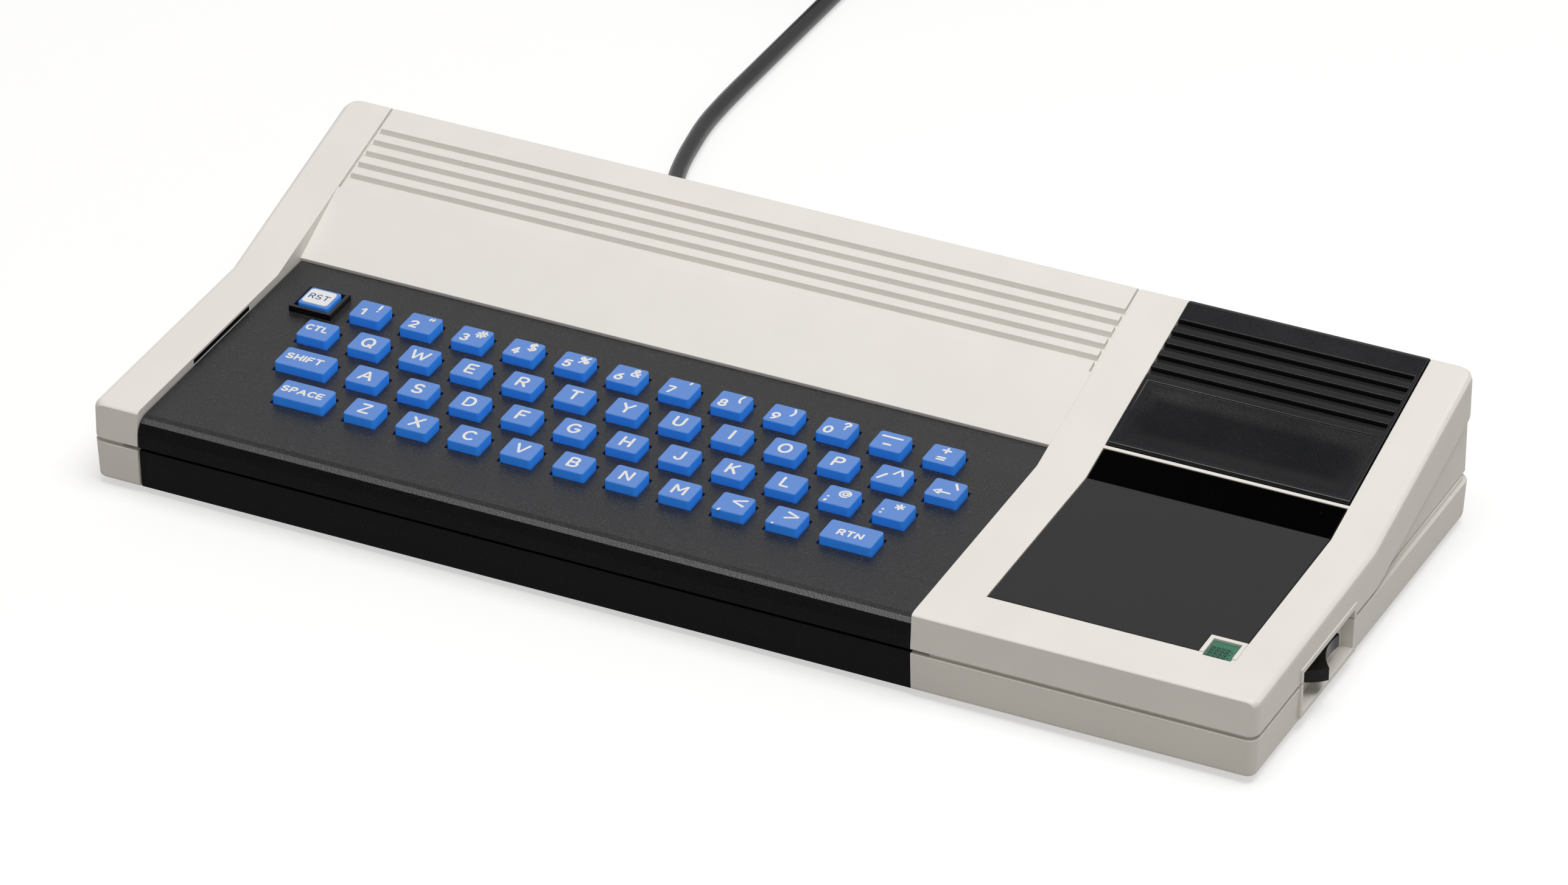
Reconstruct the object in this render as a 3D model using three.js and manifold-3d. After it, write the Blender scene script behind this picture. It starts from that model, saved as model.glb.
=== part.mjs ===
// A home computer of the early 1980s: a wide, low, wedge-shaped case in two halves, a black keyboard
// deck with separately sprung keys, a glossy bent panel, a cartridge cover that slides off to the rear,
// a rocker power switch in the right side, and a captive power lead with its plug-in transformer.
// Millimetres, +Z up, the front faces -Y, and the whole stands on z = 0.
import * as THREE from "three";
import { mergeVertices } from "three/addons/utils/BufferGeometryUtils.js";
import Module from "manifold-3d";

const wasm = await Module();
wasm.setup();

// Case: heights are above the underside of the lower half, depths are from the front face
const CASE_DEPTH = 150.3;
const FRONT_TOP = 23.8;
const FRONT_LEAN = 0.7;
const FOLD_DEPTH = 80.5;
const FOLD_TOP = 26;
const REAR_TOP = 46;
const PARTING_HEIGHT = 12.5;
const PARTING_GAP = 1.3;
const PARTING_DEPTH = 1.2;
const LOWER_TAPER = 0.6;
const WALL = 2.2;
const SIDE_RECESS = 1.65;
const SIDE_BEAM_REAR_BASE = 32.8;
const EDGE_RADIUS = 2.2;
const FRONT_CORNER_RADIUS = 3.2;
const REAR_CORNER_RADIUS = 4.4;
const LOWER_EDGE_RADIUS = 1.4;
const RAIL_WIDTH = 14.2;
const INNER_BAR_WIDTH = 14.4;
const OUTER_BAR_WIDTH = 13;
const FOOT_HEIGHT = 2;
const FOOT_RADIUS = 6;
const FOOT_INSET = 16;
const BOARD_POST_RADIUS = 3;

// Seats and running clearances
const SEAT_GAP = 0.3;
const SLIDE_GAP = 0.35;
const DECK_GAP = 0.4;
const CUT_OVERRUN = 5;
const WELD_DISTANCE = 1e-4;

// Ridged panel behind the keys
const PANEL_CREASE_DEPTH = 116.5;
const PANEL_LIP = 0.7;
const PANEL_LIP_DROP = 5;
const SEAM_WIDTH = 1;
const SEAM_DEPTH = 1.3;
const GROOVE_COUNT = 5;
const GROOVE_REAR_DEPTH = 140.7;
const GROOVE_PITCH = 4.55;
const GROOVE_WIDTH = 2;
const GROOVE_SINK = 1.45;
const GROOVE_DRAFT = 0.5;

// Keyboard deck
const DECK_DEPTH = 93.8;
const DECK_BELOW_RAIL = 2.3;
const DECK_THICKNESS = 2;
const DECK_EDGE_RADIUS = 4.5;
const DECK_LEDGE_WIDTH = 1.6;
const DECK_LEDGE_THICKNESS = 2;
const DECK_LEDGE_INSET = 8;
const TRIM_SETBACK = 0.8;
const TRIM_THICKNESS = 2.2;
const OVERLAY_SLOT_FRONT = 32.3;
const OVERLAY_SLOT_LENGTH = 31.5;
const OVERLAY_SLOT_SINK = 3;
const OVERLAY_SLOT_SKIN = 0.9;

// Keys by row from the rear and column from the left, and those that widen to one side
const ROWS = [
  ["reset", "1", "2", "3", "4", "5", "6", "7", "8", "9", "0", "minus", "equals"],
  ["ctl", "q", "w", "e", "r", "t", "y", "u", "i", "o", "p", "slash", "arrow"],
  ["shift", "a", "s", "d", "f", "g", "h", "j", "k", "l", "semicolon", "colon"],
  ["space", "z", "x", "c", "v", "b", "n", "m", "comma", "period", "return"],
];
const WIDE_SIDE = { shift: -1, space: -1, return: 1 };
const KEY_WIDTH = 9.5;
const WIDE_KEY_WIDTH = 15.5;
const KEY_LENGTH = 8.9;
const KEY_RISE = 2.7;
const KEY_TRAVEL = 2.1;
const KEY_CORNER = 0.9;
const KEY_TOP_ROUNDING = 0.4;
const KEY_SIDE_GAP = 0.55;
const KEY_END_GAP = 0.3;
const KEY_FLANGE = 1.4;
const KEY_FLANGE_THICKNESS = 1.2;
const KEY_PITCH = 15.95;
const ROW_PITCH = 15.29;
const ROW_STAGGER = 7.65;
const KEYS_LEFT_MARGIN = 16.75;
const KEYS_RIGHT_MARGIN = 17;
const KEYS_REAR_MARGIN = 19.5;
const GUARD_HEIGHT = 2;
const GUARD_THICKNESS = 1;
const GUARD_CLEARANCE = 0.75;
const CONTACT_PLATE_THICKNESS = 1.6;
const CONTACT_PLATE_MARGIN = 3.5;
const CONTACT_POST_WIDTH = 3;

// Glossy panel, its indicator window, and the cartridge bay behind it
const GLOSS_FRONT_DEPTH = 16.5;
const GLOSS_THICKNESS = 2;
const BAY_WIDTH = 71.4;
const BAY_FRONT_DEPTH = 93;
const BAY_RIDGE = 1;
const BAY_FLOOR = 17;
const WINDOW_SIZE = 8;
const WINDOW_SIDE_INSET = 1.2;
const WINDOW_FRONT_DEPTH = 15.5;
const WINDOW_SINK = 1.5;
const WINDOW_BEZEL = 1.3;
const WINDOW_BEZEL_RISE = 0.3;
const CONNECTOR_WIDTH = 52;
const CONNECTOR_DEPTH = 10;
const CONNECTOR_TOP = 20.9;
const CONNECTOR_MOUTH_HEIGHT = 3.2;
const CONNECTOR_MOUTH_RISE = 0.4;

// Cartridge cover
const COVER_PROUD = 0.8;
const COVER_SKIN = 2.4;
const COVER_SKIRT = 1.8;
const COVER_REAR_INSET = 0.3;
const COVER_GROOVE_REAR_DEPTH = 140.9;
const COVER_GROOVE_PITCH = 4.6;
const COVER_GROOVE_WIDTH = 2.2;
const COVER_GROOVE_SINK = 1.5;
const COVER_GROOVE_BORDER = 1;
const COVER_RIDGE_DROP = 0.3;
const COVER_PAD_REAR_DEPTH = 117.5;
const COVER_PAD_MARGIN = 1.4;
const COVER_PAD_SINK = 0.4;

// Power switch and the pocket that it stands in
const POCKET_FRONT_DEPTH = 31.2;
const POCKET_LENGTH = 34.6;
const POCKET_BASE = 3.8;
const POCKET_HEIGHT = 12;
const POCKET_SINK = 3.2;
const POCKET_BACKING = 1.5;
const POCKET_SURROUND = 1.6;
const POCKET_RIM_RISE = 0.4;
const ROCKER_RADIUS = 11.1;
const ROCKER_HEIGHT = 3.8;
const ROCKER_BASE = 8.3;
const ROCKER_PIVOT_INSET = 5.8;
const ROCKER_DISH = 2.1;
const ROCKER_TIP_DEGREES = 50;
const ROCKER_REST_DEGREES = 13.6;
const ROCKER_BRACKET_THICKNESS = 1.2;
const ROCKER_BRACKET_REACH = 0.8;
const ROCKER_BRACKET_BACK = 3.2;
const ROCKER_BRACKET_HALF_LENGTH = 9;
const ROCKER_BRACKET_BLOCK = 7;

// Main board: its chips are [left, front, width, length, height] as shares of the board's own sizes
const BOARD_UNDERSIDE = 6;
const BOARD_THICKNESS = 1.6;
const BOARD_MARGIN = 4.6;
const CHIP_HEIGHT = 4;
const SHIELD_HEIGHT = 9;
const CHIP_SHARES = [
  [0.08, 0.7, 0.045, 0.27],
  [0.2, 0.72, 0.16, 0.1],
  [0.42, 0.72, 0.16, 0.1],
  [0.2, 0.45, 0.11, 0.1],
  [0.36, 0.45, 0.11, 0.1],
  [0.52, 0.45, 0.11, 0.1],
];
const SHIELD_SHARE = [0.62, 0.68, 0.09, 0.24];
const SOCKET_RADIUS = 6.3;
const SOCKET_FOOT_WIDTH = 9;
const SOCKET_HEIGHT = 22;
const SOCKET_LENGTH = 12;
const SOCKET_PITCH = 26;
const SOCKET_COUNT = 3;
const FIRST_SOCKET_X = -20;

// Power lead, transformer and coil
const CORD_DIAMETER = 5.3;
const CORD_EXIT_X = -91.1;
const CORD_EXIT_HEIGHT = 7.6;
const RELIEF_LENGTH = 28;
const RELIEF_ROOT_RADIUS = 4.2;
const RELIEF_TIP_RADIUS = 3.2;
const RELIEF_NECK_RADIUS = 3.6;
const RELIEF_FLANGE_RADIUS = 5;
const RELIEF_FLANGE_THICKNESS = 1.5;
const FLOOR_LIFT = 0.05;
const COIL_MID_DIAMETER = 56;
const COIL_TURN_GAP = 0.45;
const COIL_LAYERS = 4;
const COIL_TURNS = 9;
const COIL_STEPS_PER_TURN = 24;
const COIL_SIDES = 6;
const PLUG_RELIEF_LENGTH = 28;
const PLUG_RELIEF_TIP_RADIUS = 3.3;
const PLUG_RELIEF_ROOT_RADIUS = 4.4;
const PLUG_WIDTH = 46;
const PLUG_LENGTH = 64;
const PLUG_HEIGHT = 42;
const PLUG_ROUNDING = 2.5;
const BLADE_REACH = 16;
const BLADE_WIDTH = 6.4;
const BLADE_THICKNESS = 1.5;
const BLADE_PITCH = 12.7;

// How finely round shapes are stepped
const EDGE_STEPS = 3;
const ARC_STEPS = 4;
const ROUND_SIDES = 16;
const CORD_SIDES = 8;
const CORD_STEPS = 26;

// The lead's hand-chosen route from the rear wall to the coil: [x, depth behind the front, height]
const CORD_ROUTE = [
  [-91.1, 150.3, 9.6],
  [-91.1, 158, 9.6],
  [-91.1, 167, 9.6],
  [-91.1, 176, 9.5],
  [-91.6, 184, 8.6],
  [-93, 192, 7.1],
  [-95.4, 200, 5.2],
  [-98.5, 208, 3.7],
  [-101.3, 214.5, 2.9],
  [-103.9, 221, 2.7],
  [-106.4, 230.1, 2.7],
  [-108.4, 240.2, 2.7],
  [-110.4, 252.9, 2.7],
  [-111.1, 263, 2.7],
  [-111.4, 275, 2.7],
  [-111.4, 290, 2.7],
  [-111.4, 306, 2.7],
  [-111.4, 322, 2.7],
  [-111.4, 340, 2.7],
  [-111.4, 358, 2.7],
  [-111.4, 378, 2.7],
];

// Places that follow from the sizes above
const LAST_COLUMN = Math.max(...ROWS.map((names) => names.length)) - 1;
const DECK_WIDTH = KEYS_LEFT_MARGIN + LAST_COLUMN * KEY_PITCH + ROW_STAGGER + KEYS_RIGHT_MARGIN;
const CASE_WIDTH = RAIL_WIDTH + DECK_WIDTH + INNER_BAR_WIDTH + BAY_WIDTH + OUTER_BAR_WIDTH;
const HALF_WIDTH = CASE_WIDTH / 2;
const RAIL_INNER = RAIL_WIDTH - HALF_WIDTH;
const DECK_RIGHT = RAIL_INNER + DECK_WIDTH;
const BAY_LEFT = DECK_RIGHT + INNER_BAR_WIDTH;
const BAY_RIGHT = BAY_LEFT + BAY_WIDTH;
const BAY_MIDDLE = (BAY_LEFT + BAY_RIGHT) / 2;
const SIDE_WALL = SIDE_RECESS + WALL;
const FRONT_WALL = TRIM_SETBACK + TRIM_THICKNESS + SEAT_GAP + WALL;
const GLOSS_REAR_DEPTH = BAY_FRONT_DEPTH - BAY_RIDGE;
const GLOSS_SINK = GLOSS_THICKNESS + SEAT_GAP;
const LOW_SLOPE = (FOLD_TOP - FRONT_TOP) / FOLD_DEPTH;
const HIGH_SLOPE = (REAR_TOP - FOLD_TOP) / (CASE_DEPTH - FOLD_DEPTH);
const UPPER_BASE = PARTING_HEIGHT + PARTING_GAP / 2;
const LOWER_TOP = PARTING_HEIGHT - PARTING_GAP / 2;
const DECK_TILT = Math.atan(LOW_SLOPE);
const WINDOW_RIGHT = BAY_RIGHT - WINDOW_SIDE_INSET;
const WINDOW_LEFT = WINDOW_RIGHT - WINDOW_SIZE;
const FIRST_KEY_X = RAIL_INNER + KEYS_LEFT_MARGIN;
const FIRST_ROW_DEPTH = DECK_DEPTH - KEYS_REAR_MARGIN;
const KEY_FLANGE_TOP = -(DECK_THICKNESS + SEAT_GAP);
const KEY_FLANGE_BASE = KEY_FLANGE_TOP - KEY_FLANGE_THICKNESS;
const CONTACT_PLATE_TOP = KEY_FLANGE_BASE - KEY_TRAVEL - SEAT_GAP;
const BOARD_TOP = BOARD_UNDERSIDE + BOARD_THICKNESS;
const POCKET_WALL_X = HALF_WIDTH - POCKET_SINK;
const ROCKER_PIVOT_X = HALF_WIDTH - ROCKER_PIVOT_INSET;
const ROCKER_PIVOT_DEPTH = POCKET_FRONT_DEPTH + POCKET_LENGTH / 2;
const COIL_PITCH = CORD_DIAMETER + COIL_TURN_GAP;
const ROCKER_REST = THREE.MathUtils.degToRad(ROCKER_REST_DEGREES);
const SWITCH_PROUD =
  ROCKER_RADIUS * Math.cos(THREE.MathUtils.degToRad(ROCKER_TIP_DEGREES) - ROCKER_REST) - ROCKER_PIVOT_INSET;

// Height of the rails' top at a depth, of the deck there, and of the ridged panel
function railTop(depth) {
  return depth < FOLD_DEPTH ? FRONT_TOP + LOW_SLOPE * depth : FOLD_TOP + HIGH_SLOPE * (depth - FOLD_DEPTH);
}

function deckTop(depth) {
  return FRONT_TOP + LOW_SLOPE * depth - DECK_BELOW_RAIL;
}

function panelTop(depth) {
  const front = deckTop(DECK_DEPTH) + PANEL_LIP;
  const slope = (railTop(PANEL_CREASE_DEPTH) - front) / (PANEL_CREASE_DEPTH - DECK_DEPTH);
  return depth < PANEL_CREASE_DEPTH ? front + slope * (depth - DECK_DEPTH) : railTop(depth);
}

// A closed geometry as a solid that can be joined and cut
function solidOf(geometry) {
  const bare = geometry.index ? geometry.toNonIndexed() : geometry.clone();
  bare.deleteAttribute("normal");
  bare.deleteAttribute("uv");
  const merged = mergeVertices(bare, WELD_DISTANCE);
  return new wasm.Manifold(
    new wasm.Mesh({
      numProp: 3,
      vertProperties: merged.attributes.position.array,
      triVerts: new Uint32Array(merged.index.array),
    }),
  );
}

// A solid as a flat-shaded geometry
function geometryOf(solid) {
  const mesh = solid.getMesh();
  const positions = new Float32Array(mesh.numVert * 3);
  for (let i = 0; i < mesh.numVert; i++) {
    positions.set(mesh.vertProperties.subarray(i * mesh.numProp, i * mesh.numProp + 3), i * 3);
  }
  const indexed = new THREE.BufferGeometry();
  indexed.setAttribute("position", new THREE.BufferAttribute(positions, 3));
  indexed.setIndex(new THREE.BufferAttribute(new Uint32Array(mesh.triVerts), 1));
  const flat = indexed.toNonIndexed();
  flat.computeVertexNormals();
  return flat;
}

function joined(solids) {
  return solids.reduce((sum, solid) => sum.add(solid));
}

function cut(solid, tools) {
  return tools.reduce((rest, tool) => rest.subtract(tool), solid);
}

function box(fromX, toX, fromY, toY, fromZ, toZ) {
  const geometry = new THREE.BoxGeometry(toX - fromX, toY - fromY, toZ - fromZ);
  geometry.translate((fromX + toX) / 2, (fromY + toY) / 2, (fromZ + toZ) / 2);
  return solidOf(geometry);
}

function shapeOf(outline) {
  return new THREE.Shape(outline.map(([u, v]) => new THREE.Vector2(u, v)));
}

// Turns an extrusion so that its outline lies in the YZ plane and its depth runs along X
const YZ_ALONG_X = new THREE.Matrix4().makeBasis(
  new THREE.Vector3(0, 1, 0),
  new THREE.Vector3(0, 0, 1),
  new THREE.Vector3(1, 0, 0),
);
// The same for an outline in the XZ plane, with its depth along Y
const XZ_ALONG_Y = new THREE.Matrix4().makeBasis(
  new THREE.Vector3(-1, 0, 0),
  new THREE.Vector3(0, 0, 1),
  new THREE.Vector3(0, 1, 0),
);

function alongX(outline, from, to) {
  const geometry = new THREE.ExtrudeGeometry(shapeOf(outline), { depth: to - from, bevelEnabled: false });
  geometry.applyMatrix4(YZ_ALONG_X);
  geometry.translate(from, 0, 0);
  return solidOf(geometry);
}

function alongY(outline, from, to) {
  const mirrored = outline.map(([x, z]) => [-x, z]);
  const geometry = new THREE.ExtrudeGeometry(shapeOf(mirrored), { depth: to - from, bevelEnabled: false });
  geometry.applyMatrix4(XZ_ALONG_Y);
  geometry.translate(0, from, 0);
  return solidOf(geometry);
}

function alongZ(outline, from, to) {
  const geometry = new THREE.ExtrudeGeometry(shapeOf(outline), { depth: to - from, bevelEnabled: false });
  geometry.translate(0, 0, from);
  return solidOf(geometry);
}

// A disc or rod along Z
function rod(x, y, radius, fromZ, toZ) {
  const geometry = new THREE.CylinderGeometry(radius, radius, toZ - fromZ, ROUND_SIDES);
  geometry.rotateX(Math.PI / 2);
  geometry.translate(x, y, (fromZ + toZ) / 2);
  return solidOf(geometry);
}

// A rod or cone along Y, with a radius at each end
function rodAlongY(x, z, fromRadius, toRadius, fromY, toY) {
  const geometry = new THREE.CylinderGeometry(toRadius, fromRadius, toY - fromY, ROUND_SIDES);
  geometry.translate(x, (fromY + toY) / 2, z);
  return solidOf(geometry);
}

// An outline whose corners are rounded by the radii given, 0 for a corner that stays sharp
function filleted(points, radii) {
  return points.flatMap((corner, i) => {
    const here = new THREE.Vector2(...corner);
    const before = new THREE.Vector2(...points.at(i - 1)).sub(here);
    const after = new THREE.Vector2(...points[(i + 1) % points.length]).sub(here);
    if (!radii[i]) {
      return [corner];
    }
    const halfAngle = before.angleTo(after) / 2;
    const run = radii[i] / Math.tan(halfAngle);
    const start = here.clone().addScaledVector(before.normalize(), run);
    const end = here.clone().addScaledVector(after.normalize(), run);
    const toCentre = before.clone().add(after).normalize();
    const centre = here.clone().addScaledVector(toCentre, radii[i] / Math.sin(halfAngle));
    const first = start.clone().sub(centre);
    const last = end.clone().sub(centre);
    const sweep = Math.atan2(first.cross(last), first.dot(last));
    return Array.from({ length: ARC_STEPS + 1 }, (_, k) => {
      const turned = first.clone().rotateAround(new THREE.Vector2(0, 0), (sweep * k) / ARC_STEPS);
      return [centre.x + turned.x, centre.y + turned.y];
    });
  });
}

// A rectangle about the origin with each corner cut to two points
function cornered(width, length, corner) {
  const halfWidth = width / 2;
  const halfLength = length / 2;
  return [
    [halfWidth - corner, -halfLength],
    [halfWidth, -halfLength + corner],
    [halfWidth, halfLength - corner],
    [halfWidth - corner, halfLength],
    [-halfWidth + corner, halfLength],
    [-halfWidth, halfLength - corner],
    [-halfWidth, -halfLength + corner],
    [-halfWidth + corner, -halfLength],
  ];
}

// A skin over rings of as many points each, closed by a fan at each end
function loft(rings) {
  const count = rings[0].length;
  const positions = [];
  const corner = (ring, k) => rings[ring][k % count];
  for (let ring = 0; ring < rings.length - 1; ring++) {
    for (let k = 0; k < count; k++) {
      const quad = [corner(ring, k), corner(ring, k + 1), corner(ring + 1, k + 1), corner(ring + 1, k)];
      positions.push(...quad[0], ...quad[1], ...quad[2], ...quad[0], ...quad[2], ...quad[3]);
    }
  }
  const last = rings.length - 1;
  for (let k = 1; k < count - 1; k++) {
    positions.push(...corner(0, 0), ...corner(0, k + 1), ...corner(0, k));
    positions.push(...corner(last, 0), ...corner(last, k), ...corner(last, k + 1));
  }
  const geometry = new THREE.BufferGeometry();
  geometry.setAttribute("position", new THREE.Float32BufferAttribute(positions, 3));
  return geometry;
}

// Two depths, with the fold's between them where they lie on either side of it
function depthsAcrossFold(fromDepth, toDepth) {
  const crosses = fromDepth < FOLD_DEPTH && toDepth > FOLD_DEPTH;
  return crosses ? [fromDepth, FOLD_DEPTH, toDepth] : [fromDepth, toDepth];
}

// The outline between two depths of the rails' top, from an offset above it down to another below it
function underTop(fromDepth, toDepth, above, below) {
  const depths = depthsAcrossFold(fromDepth, toDepth);
  const upper = depths.map((depth) => [depth, railTop(depth) + above]);
  const lower = depths.map((depth) => [depth, railTop(depth) - below]);
  return [...lower, ...upper.reverse()];
}

// The outline from a low level up to an offset below the rails' top
function fillUnderTop(fromDepth, toDepth, low, below) {
  const upper = depthsAcrossFold(fromDepth, toDepth).map((depth) => [depth, railTop(depth) - below]);
  return [[fromDepth, low], [toDepth, low], ...upper.reverse()];
}

// Plan of the case drawn in by an inset, with corners rounded about the same centres as the case's own
function casePlan(inset) {
  const half = HALF_WIDTH - inset;
  const frontRadius = FRONT_CORNER_RADIUS - inset;
  const rearRadius = REAR_CORNER_RADIUS - inset;
  return filleted(
    [
      [-half, inset],
      [half, inset],
      [half, CASE_DEPTH - inset],
      [-half, CASE_DEPTH - inset],
    ],
    [frontRadius, frontRadius, rearRadius, rearRadius],
  );
}

// A block over the case's plan, whose top slopes evenly and whose upper edges and corners are rounded
function slopedBlock(topAtFront, slope) {
  const base = -2 * REAR_TOP;
  const geometry = new THREE.ExtrudeGeometry(shapeOf(casePlan(0)), {
    depth: topAtFront - base - 2 * EDGE_RADIUS,
    bevelThickness: EDGE_RADIUS,
    bevelSize: EDGE_RADIUS,
    bevelOffset: -EDGE_RADIUS,
    bevelSegments: EDGE_STEPS,
  });
  geometry.translate(0, 0, base + EDGE_RADIUS);
  geometry.applyMatrix4(new THREE.Matrix4().makeShear(0, 0, 0, slope, 0, 0));
  return solidOf(geometry);
}

// Upper half of the case, before anything is cut: one rounded block before the fold and one behind it
function upperHull() {
  const low = LOWER_TOP - CUT_OVERRUN;
  const outline = [
    [0, low],
    [CASE_DEPTH, low],
    [CASE_DEPTH, 2 * REAR_TOP],
    [FRONT_LEAN, 2 * REAR_TOP],
    [FRONT_LEAN, FRONT_TOP],
    [0, PARTING_HEIGHT],
  ];
  const leaning = alongX(outline, -CASE_WIDTH, CASE_WIDTH);
  const whole = joined([
    slopedBlock(FRONT_TOP, LOW_SLOPE),
    slopedBlock(FOLD_TOP - HIGH_SLOPE * FOLD_DEPTH, HIGH_SLOPE),
  ]).intersect(leaning);
  return cut(whole, [
    box(-CASE_WIDTH, CASE_WIDTH, -CUT_OVERRUN, CASE_DEPTH + CUT_OVERRUN, low - CUT_OVERRUN, UPPER_BASE),
  ]);
}

// The triangle by which each side wall stands back under the sloping beam
function sideRecesses() {
  const slope = (SIDE_BEAM_REAR_BASE - PARTING_HEIGHT) / (CASE_DEPTH - FOLD_DEPTH);
  const outline = [
    [FOLD_DEPTH, PARTING_HEIGHT],
    [CASE_DEPTH + CUT_OVERRUN, PARTING_HEIGHT],
    [CASE_DEPTH + CUT_OVERRUN, SIDE_BEAM_REAR_BASE + slope * CUT_OVERRUN],
  ];
  return [
    alongX(outline, HALF_WIDTH - SIDE_RECESS, HALF_WIDTH + CUT_OVERRUN),
    alongX(outline, -HALF_WIDTH - CUT_OVERRUN, SIDE_RECESS - HALF_WIDTH),
  ];
}

// Opening for the deck, and the ridged panel's fall from its crease down to the deck
function deckOpening() {
  const high = REAR_TOP + CUT_OVERRUN;
  const fall = [
    [DECK_DEPTH - CUT_OVERRUN, panelTop(DECK_DEPTH)],
    [DECK_DEPTH, panelTop(DECK_DEPTH)],
    [PANEL_CREASE_DEPTH, railTop(PANEL_CREASE_DEPTH)],
    [PANEL_CREASE_DEPTH, high],
    [DECK_DEPTH - CUT_OVERRUN, high],
  ];
  return [
    box(RAIL_INNER, DECK_RIGHT, -CUT_OVERRUN, DECK_DEPTH, LOWER_TOP - CUT_OVERRUN, high),
    alongX(fall, RAIL_INNER, DECK_RIGHT),
  ];
}

// Ridges: the grooves across the panel and the seam down each side of it
function panelGrooves() {
  const grooves = Array.from({ length: GROOVE_COUNT }, (_, i) => {
    const rear = GROOVE_REAR_DEPTH - i * GROOVE_PITCH;
    const foot = rear - GROOVE_DRAFT;
    const front = rear - GROOVE_WIDTH;
    const outline = [
      [front, railTop(front) - GROOVE_SINK],
      [foot, railTop(foot) - GROOVE_SINK],
      [rear, railTop(rear)],
      [rear, railTop(rear) + CUT_OVERRUN],
      [front, railTop(front) + CUT_OVERRUN],
    ];
    return alongX(outline, RAIL_INNER, DECK_RIGHT);
  });
  const seam = underTop(PANEL_CREASE_DEPTH, CASE_DEPTH + CUT_OVERRUN, CUT_OVERRUN, SEAM_DEPTH);
  return [
    ...grooves,
    alongX(seam, RAIL_INNER, RAIL_INNER + SEAM_WIDTH),
    alongX(seam, DECK_RIGHT - SEAM_WIDTH, DECK_RIGHT),
  ];
}

// Hollows of the upper half: left rail, panel, both bars of the right frame, and below its panel and bay
function upperHollows() {
  const low = LOWER_TOP - CUT_OVERRUN;
  const rear = CASE_DEPTH - WALL;
  const railHollow = fillUnderTop(WALL, rear, low, WALL);
  const panelFront = DECK_DEPTH + WALL;
  const panelHollow = [
    [panelFront, low],
    [rear, low],
    [rear, railTop(rear) - WALL - SEAM_DEPTH],
    [PANEL_CREASE_DEPTH, railTop(PANEL_CREASE_DEPTH) - WALL - SEAM_DEPTH],
    [panelFront, panelTop(panelFront) - WALL],
  ];
  const lipBase = deckTop(DECK_DEPTH) - PANEL_LIP_DROP;
  const bayFront = BAY_FRONT_DEPTH - WALL;
  const underGloss = fillUnderTop(WALL, bayFront, low, GLOSS_SINK + WALL);
  const underBay = [
    [bayFront - CUT_OVERRUN, low],
    [rear, low],
    [rear, BAY_FLOOR - WALL],
    [bayFront - CUT_OVERRUN, BAY_FLOOR - WALL],
  ];
  const left = DECK_RIGHT + WALL;
  const right = HALF_WIDTH - SIDE_WALL;
  return [
    alongX(railHollow, SIDE_WALL - HALF_WIDTH, RAIL_INNER - WALL),
    alongX(panelHollow, RAIL_INNER, DECK_RIGHT),
    alongX(railHollow, left, BAY_LEFT - WALL),
    alongX(railHollow, BAY_RIGHT + WALL, right),
    alongX(underGloss, left, right),
    alongX(underBay, left, right),
    box(RAIL_INNER, DECK_RIGHT, DECK_DEPTH - CUT_OVERRUN, panelFront, low, lipBase),
  ];
}

// Recess for the glossy panel, the bay, and the mouth through which a cartridge meets its connector
function frameCuts() {
  const recess = underTop(GLOSS_FRONT_DEPTH, GLOSS_REAR_DEPTH, CUT_OVERRUN, GLOSS_SINK);
  const mouthBase = BAY_FLOOR + CONNECTOR_MOUTH_RISE;
  const halfMouth = CONNECTOR_WIDTH / 2;
  return [
    alongX(recess, BAY_LEFT, BAY_RIGHT),
    box(BAY_LEFT, BAY_RIGHT, BAY_FRONT_DEPTH, CASE_DEPTH + CUT_OVERRUN, BAY_FLOOR, REAR_TOP + CUT_OVERRUN),
    box(
      BAY_MIDDLE - halfMouth,
      BAY_MIDDLE + halfMouth,
      BAY_FRONT_DEPTH - WALL - SEAT_GAP,
      BAY_FRONT_DEPTH + CUT_OVERRUN,
      mouthBase,
      mouthBase + CONNECTOR_MOUTH_HEIGHT,
    ),
  ];
}

// Raised surround of the indicator window, in the panel's front right corner
function windowBezel() {
  const rear = WINDOW_FRONT_DEPTH + WINDOW_SIZE + WINDOW_BEZEL;
  const block = underTop(GLOSS_FRONT_DEPTH, rear, WINDOW_BEZEL_RISE, GLOSS_SINK);
  return alongX(block, WINDOW_LEFT - WINDOW_BEZEL, BAY_RIGHT);
}

function windowPocket() {
  const pocket = underTop(WINDOW_FRONT_DEPTH, WINDOW_FRONT_DEPTH + WINDOW_SIZE, CUT_OVERRUN, WINDOW_SINK);
  return alongX(pocket, WINDOW_LEFT, WINDOW_RIGHT);
}

// Slots in both walls beside the deck, for the ends of a keyboard overlay
function overlaySlots() {
  const rear = OVERLAY_SLOT_FRONT + OVERLAY_SLOT_LENGTH;
  const depths = [OVERLAY_SLOT_FRONT, rear];
  const outline = [
    ...depths.map((depth) => [depth, deckTop(depth)]),
    ...depths.reverse().map((depth) => [depth, railTop(depth) - OVERLAY_SLOT_SKIN]),
  ];
  return [
    alongX(outline, RAIL_INNER - OVERLAY_SLOT_SINK, RAIL_INNER + CUT_OVERRUN),
    alongX(outline, DECK_RIGHT - CUT_OVERRUN, DECK_RIGHT + OVERLAY_SLOT_SINK),
  ];
}

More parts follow.
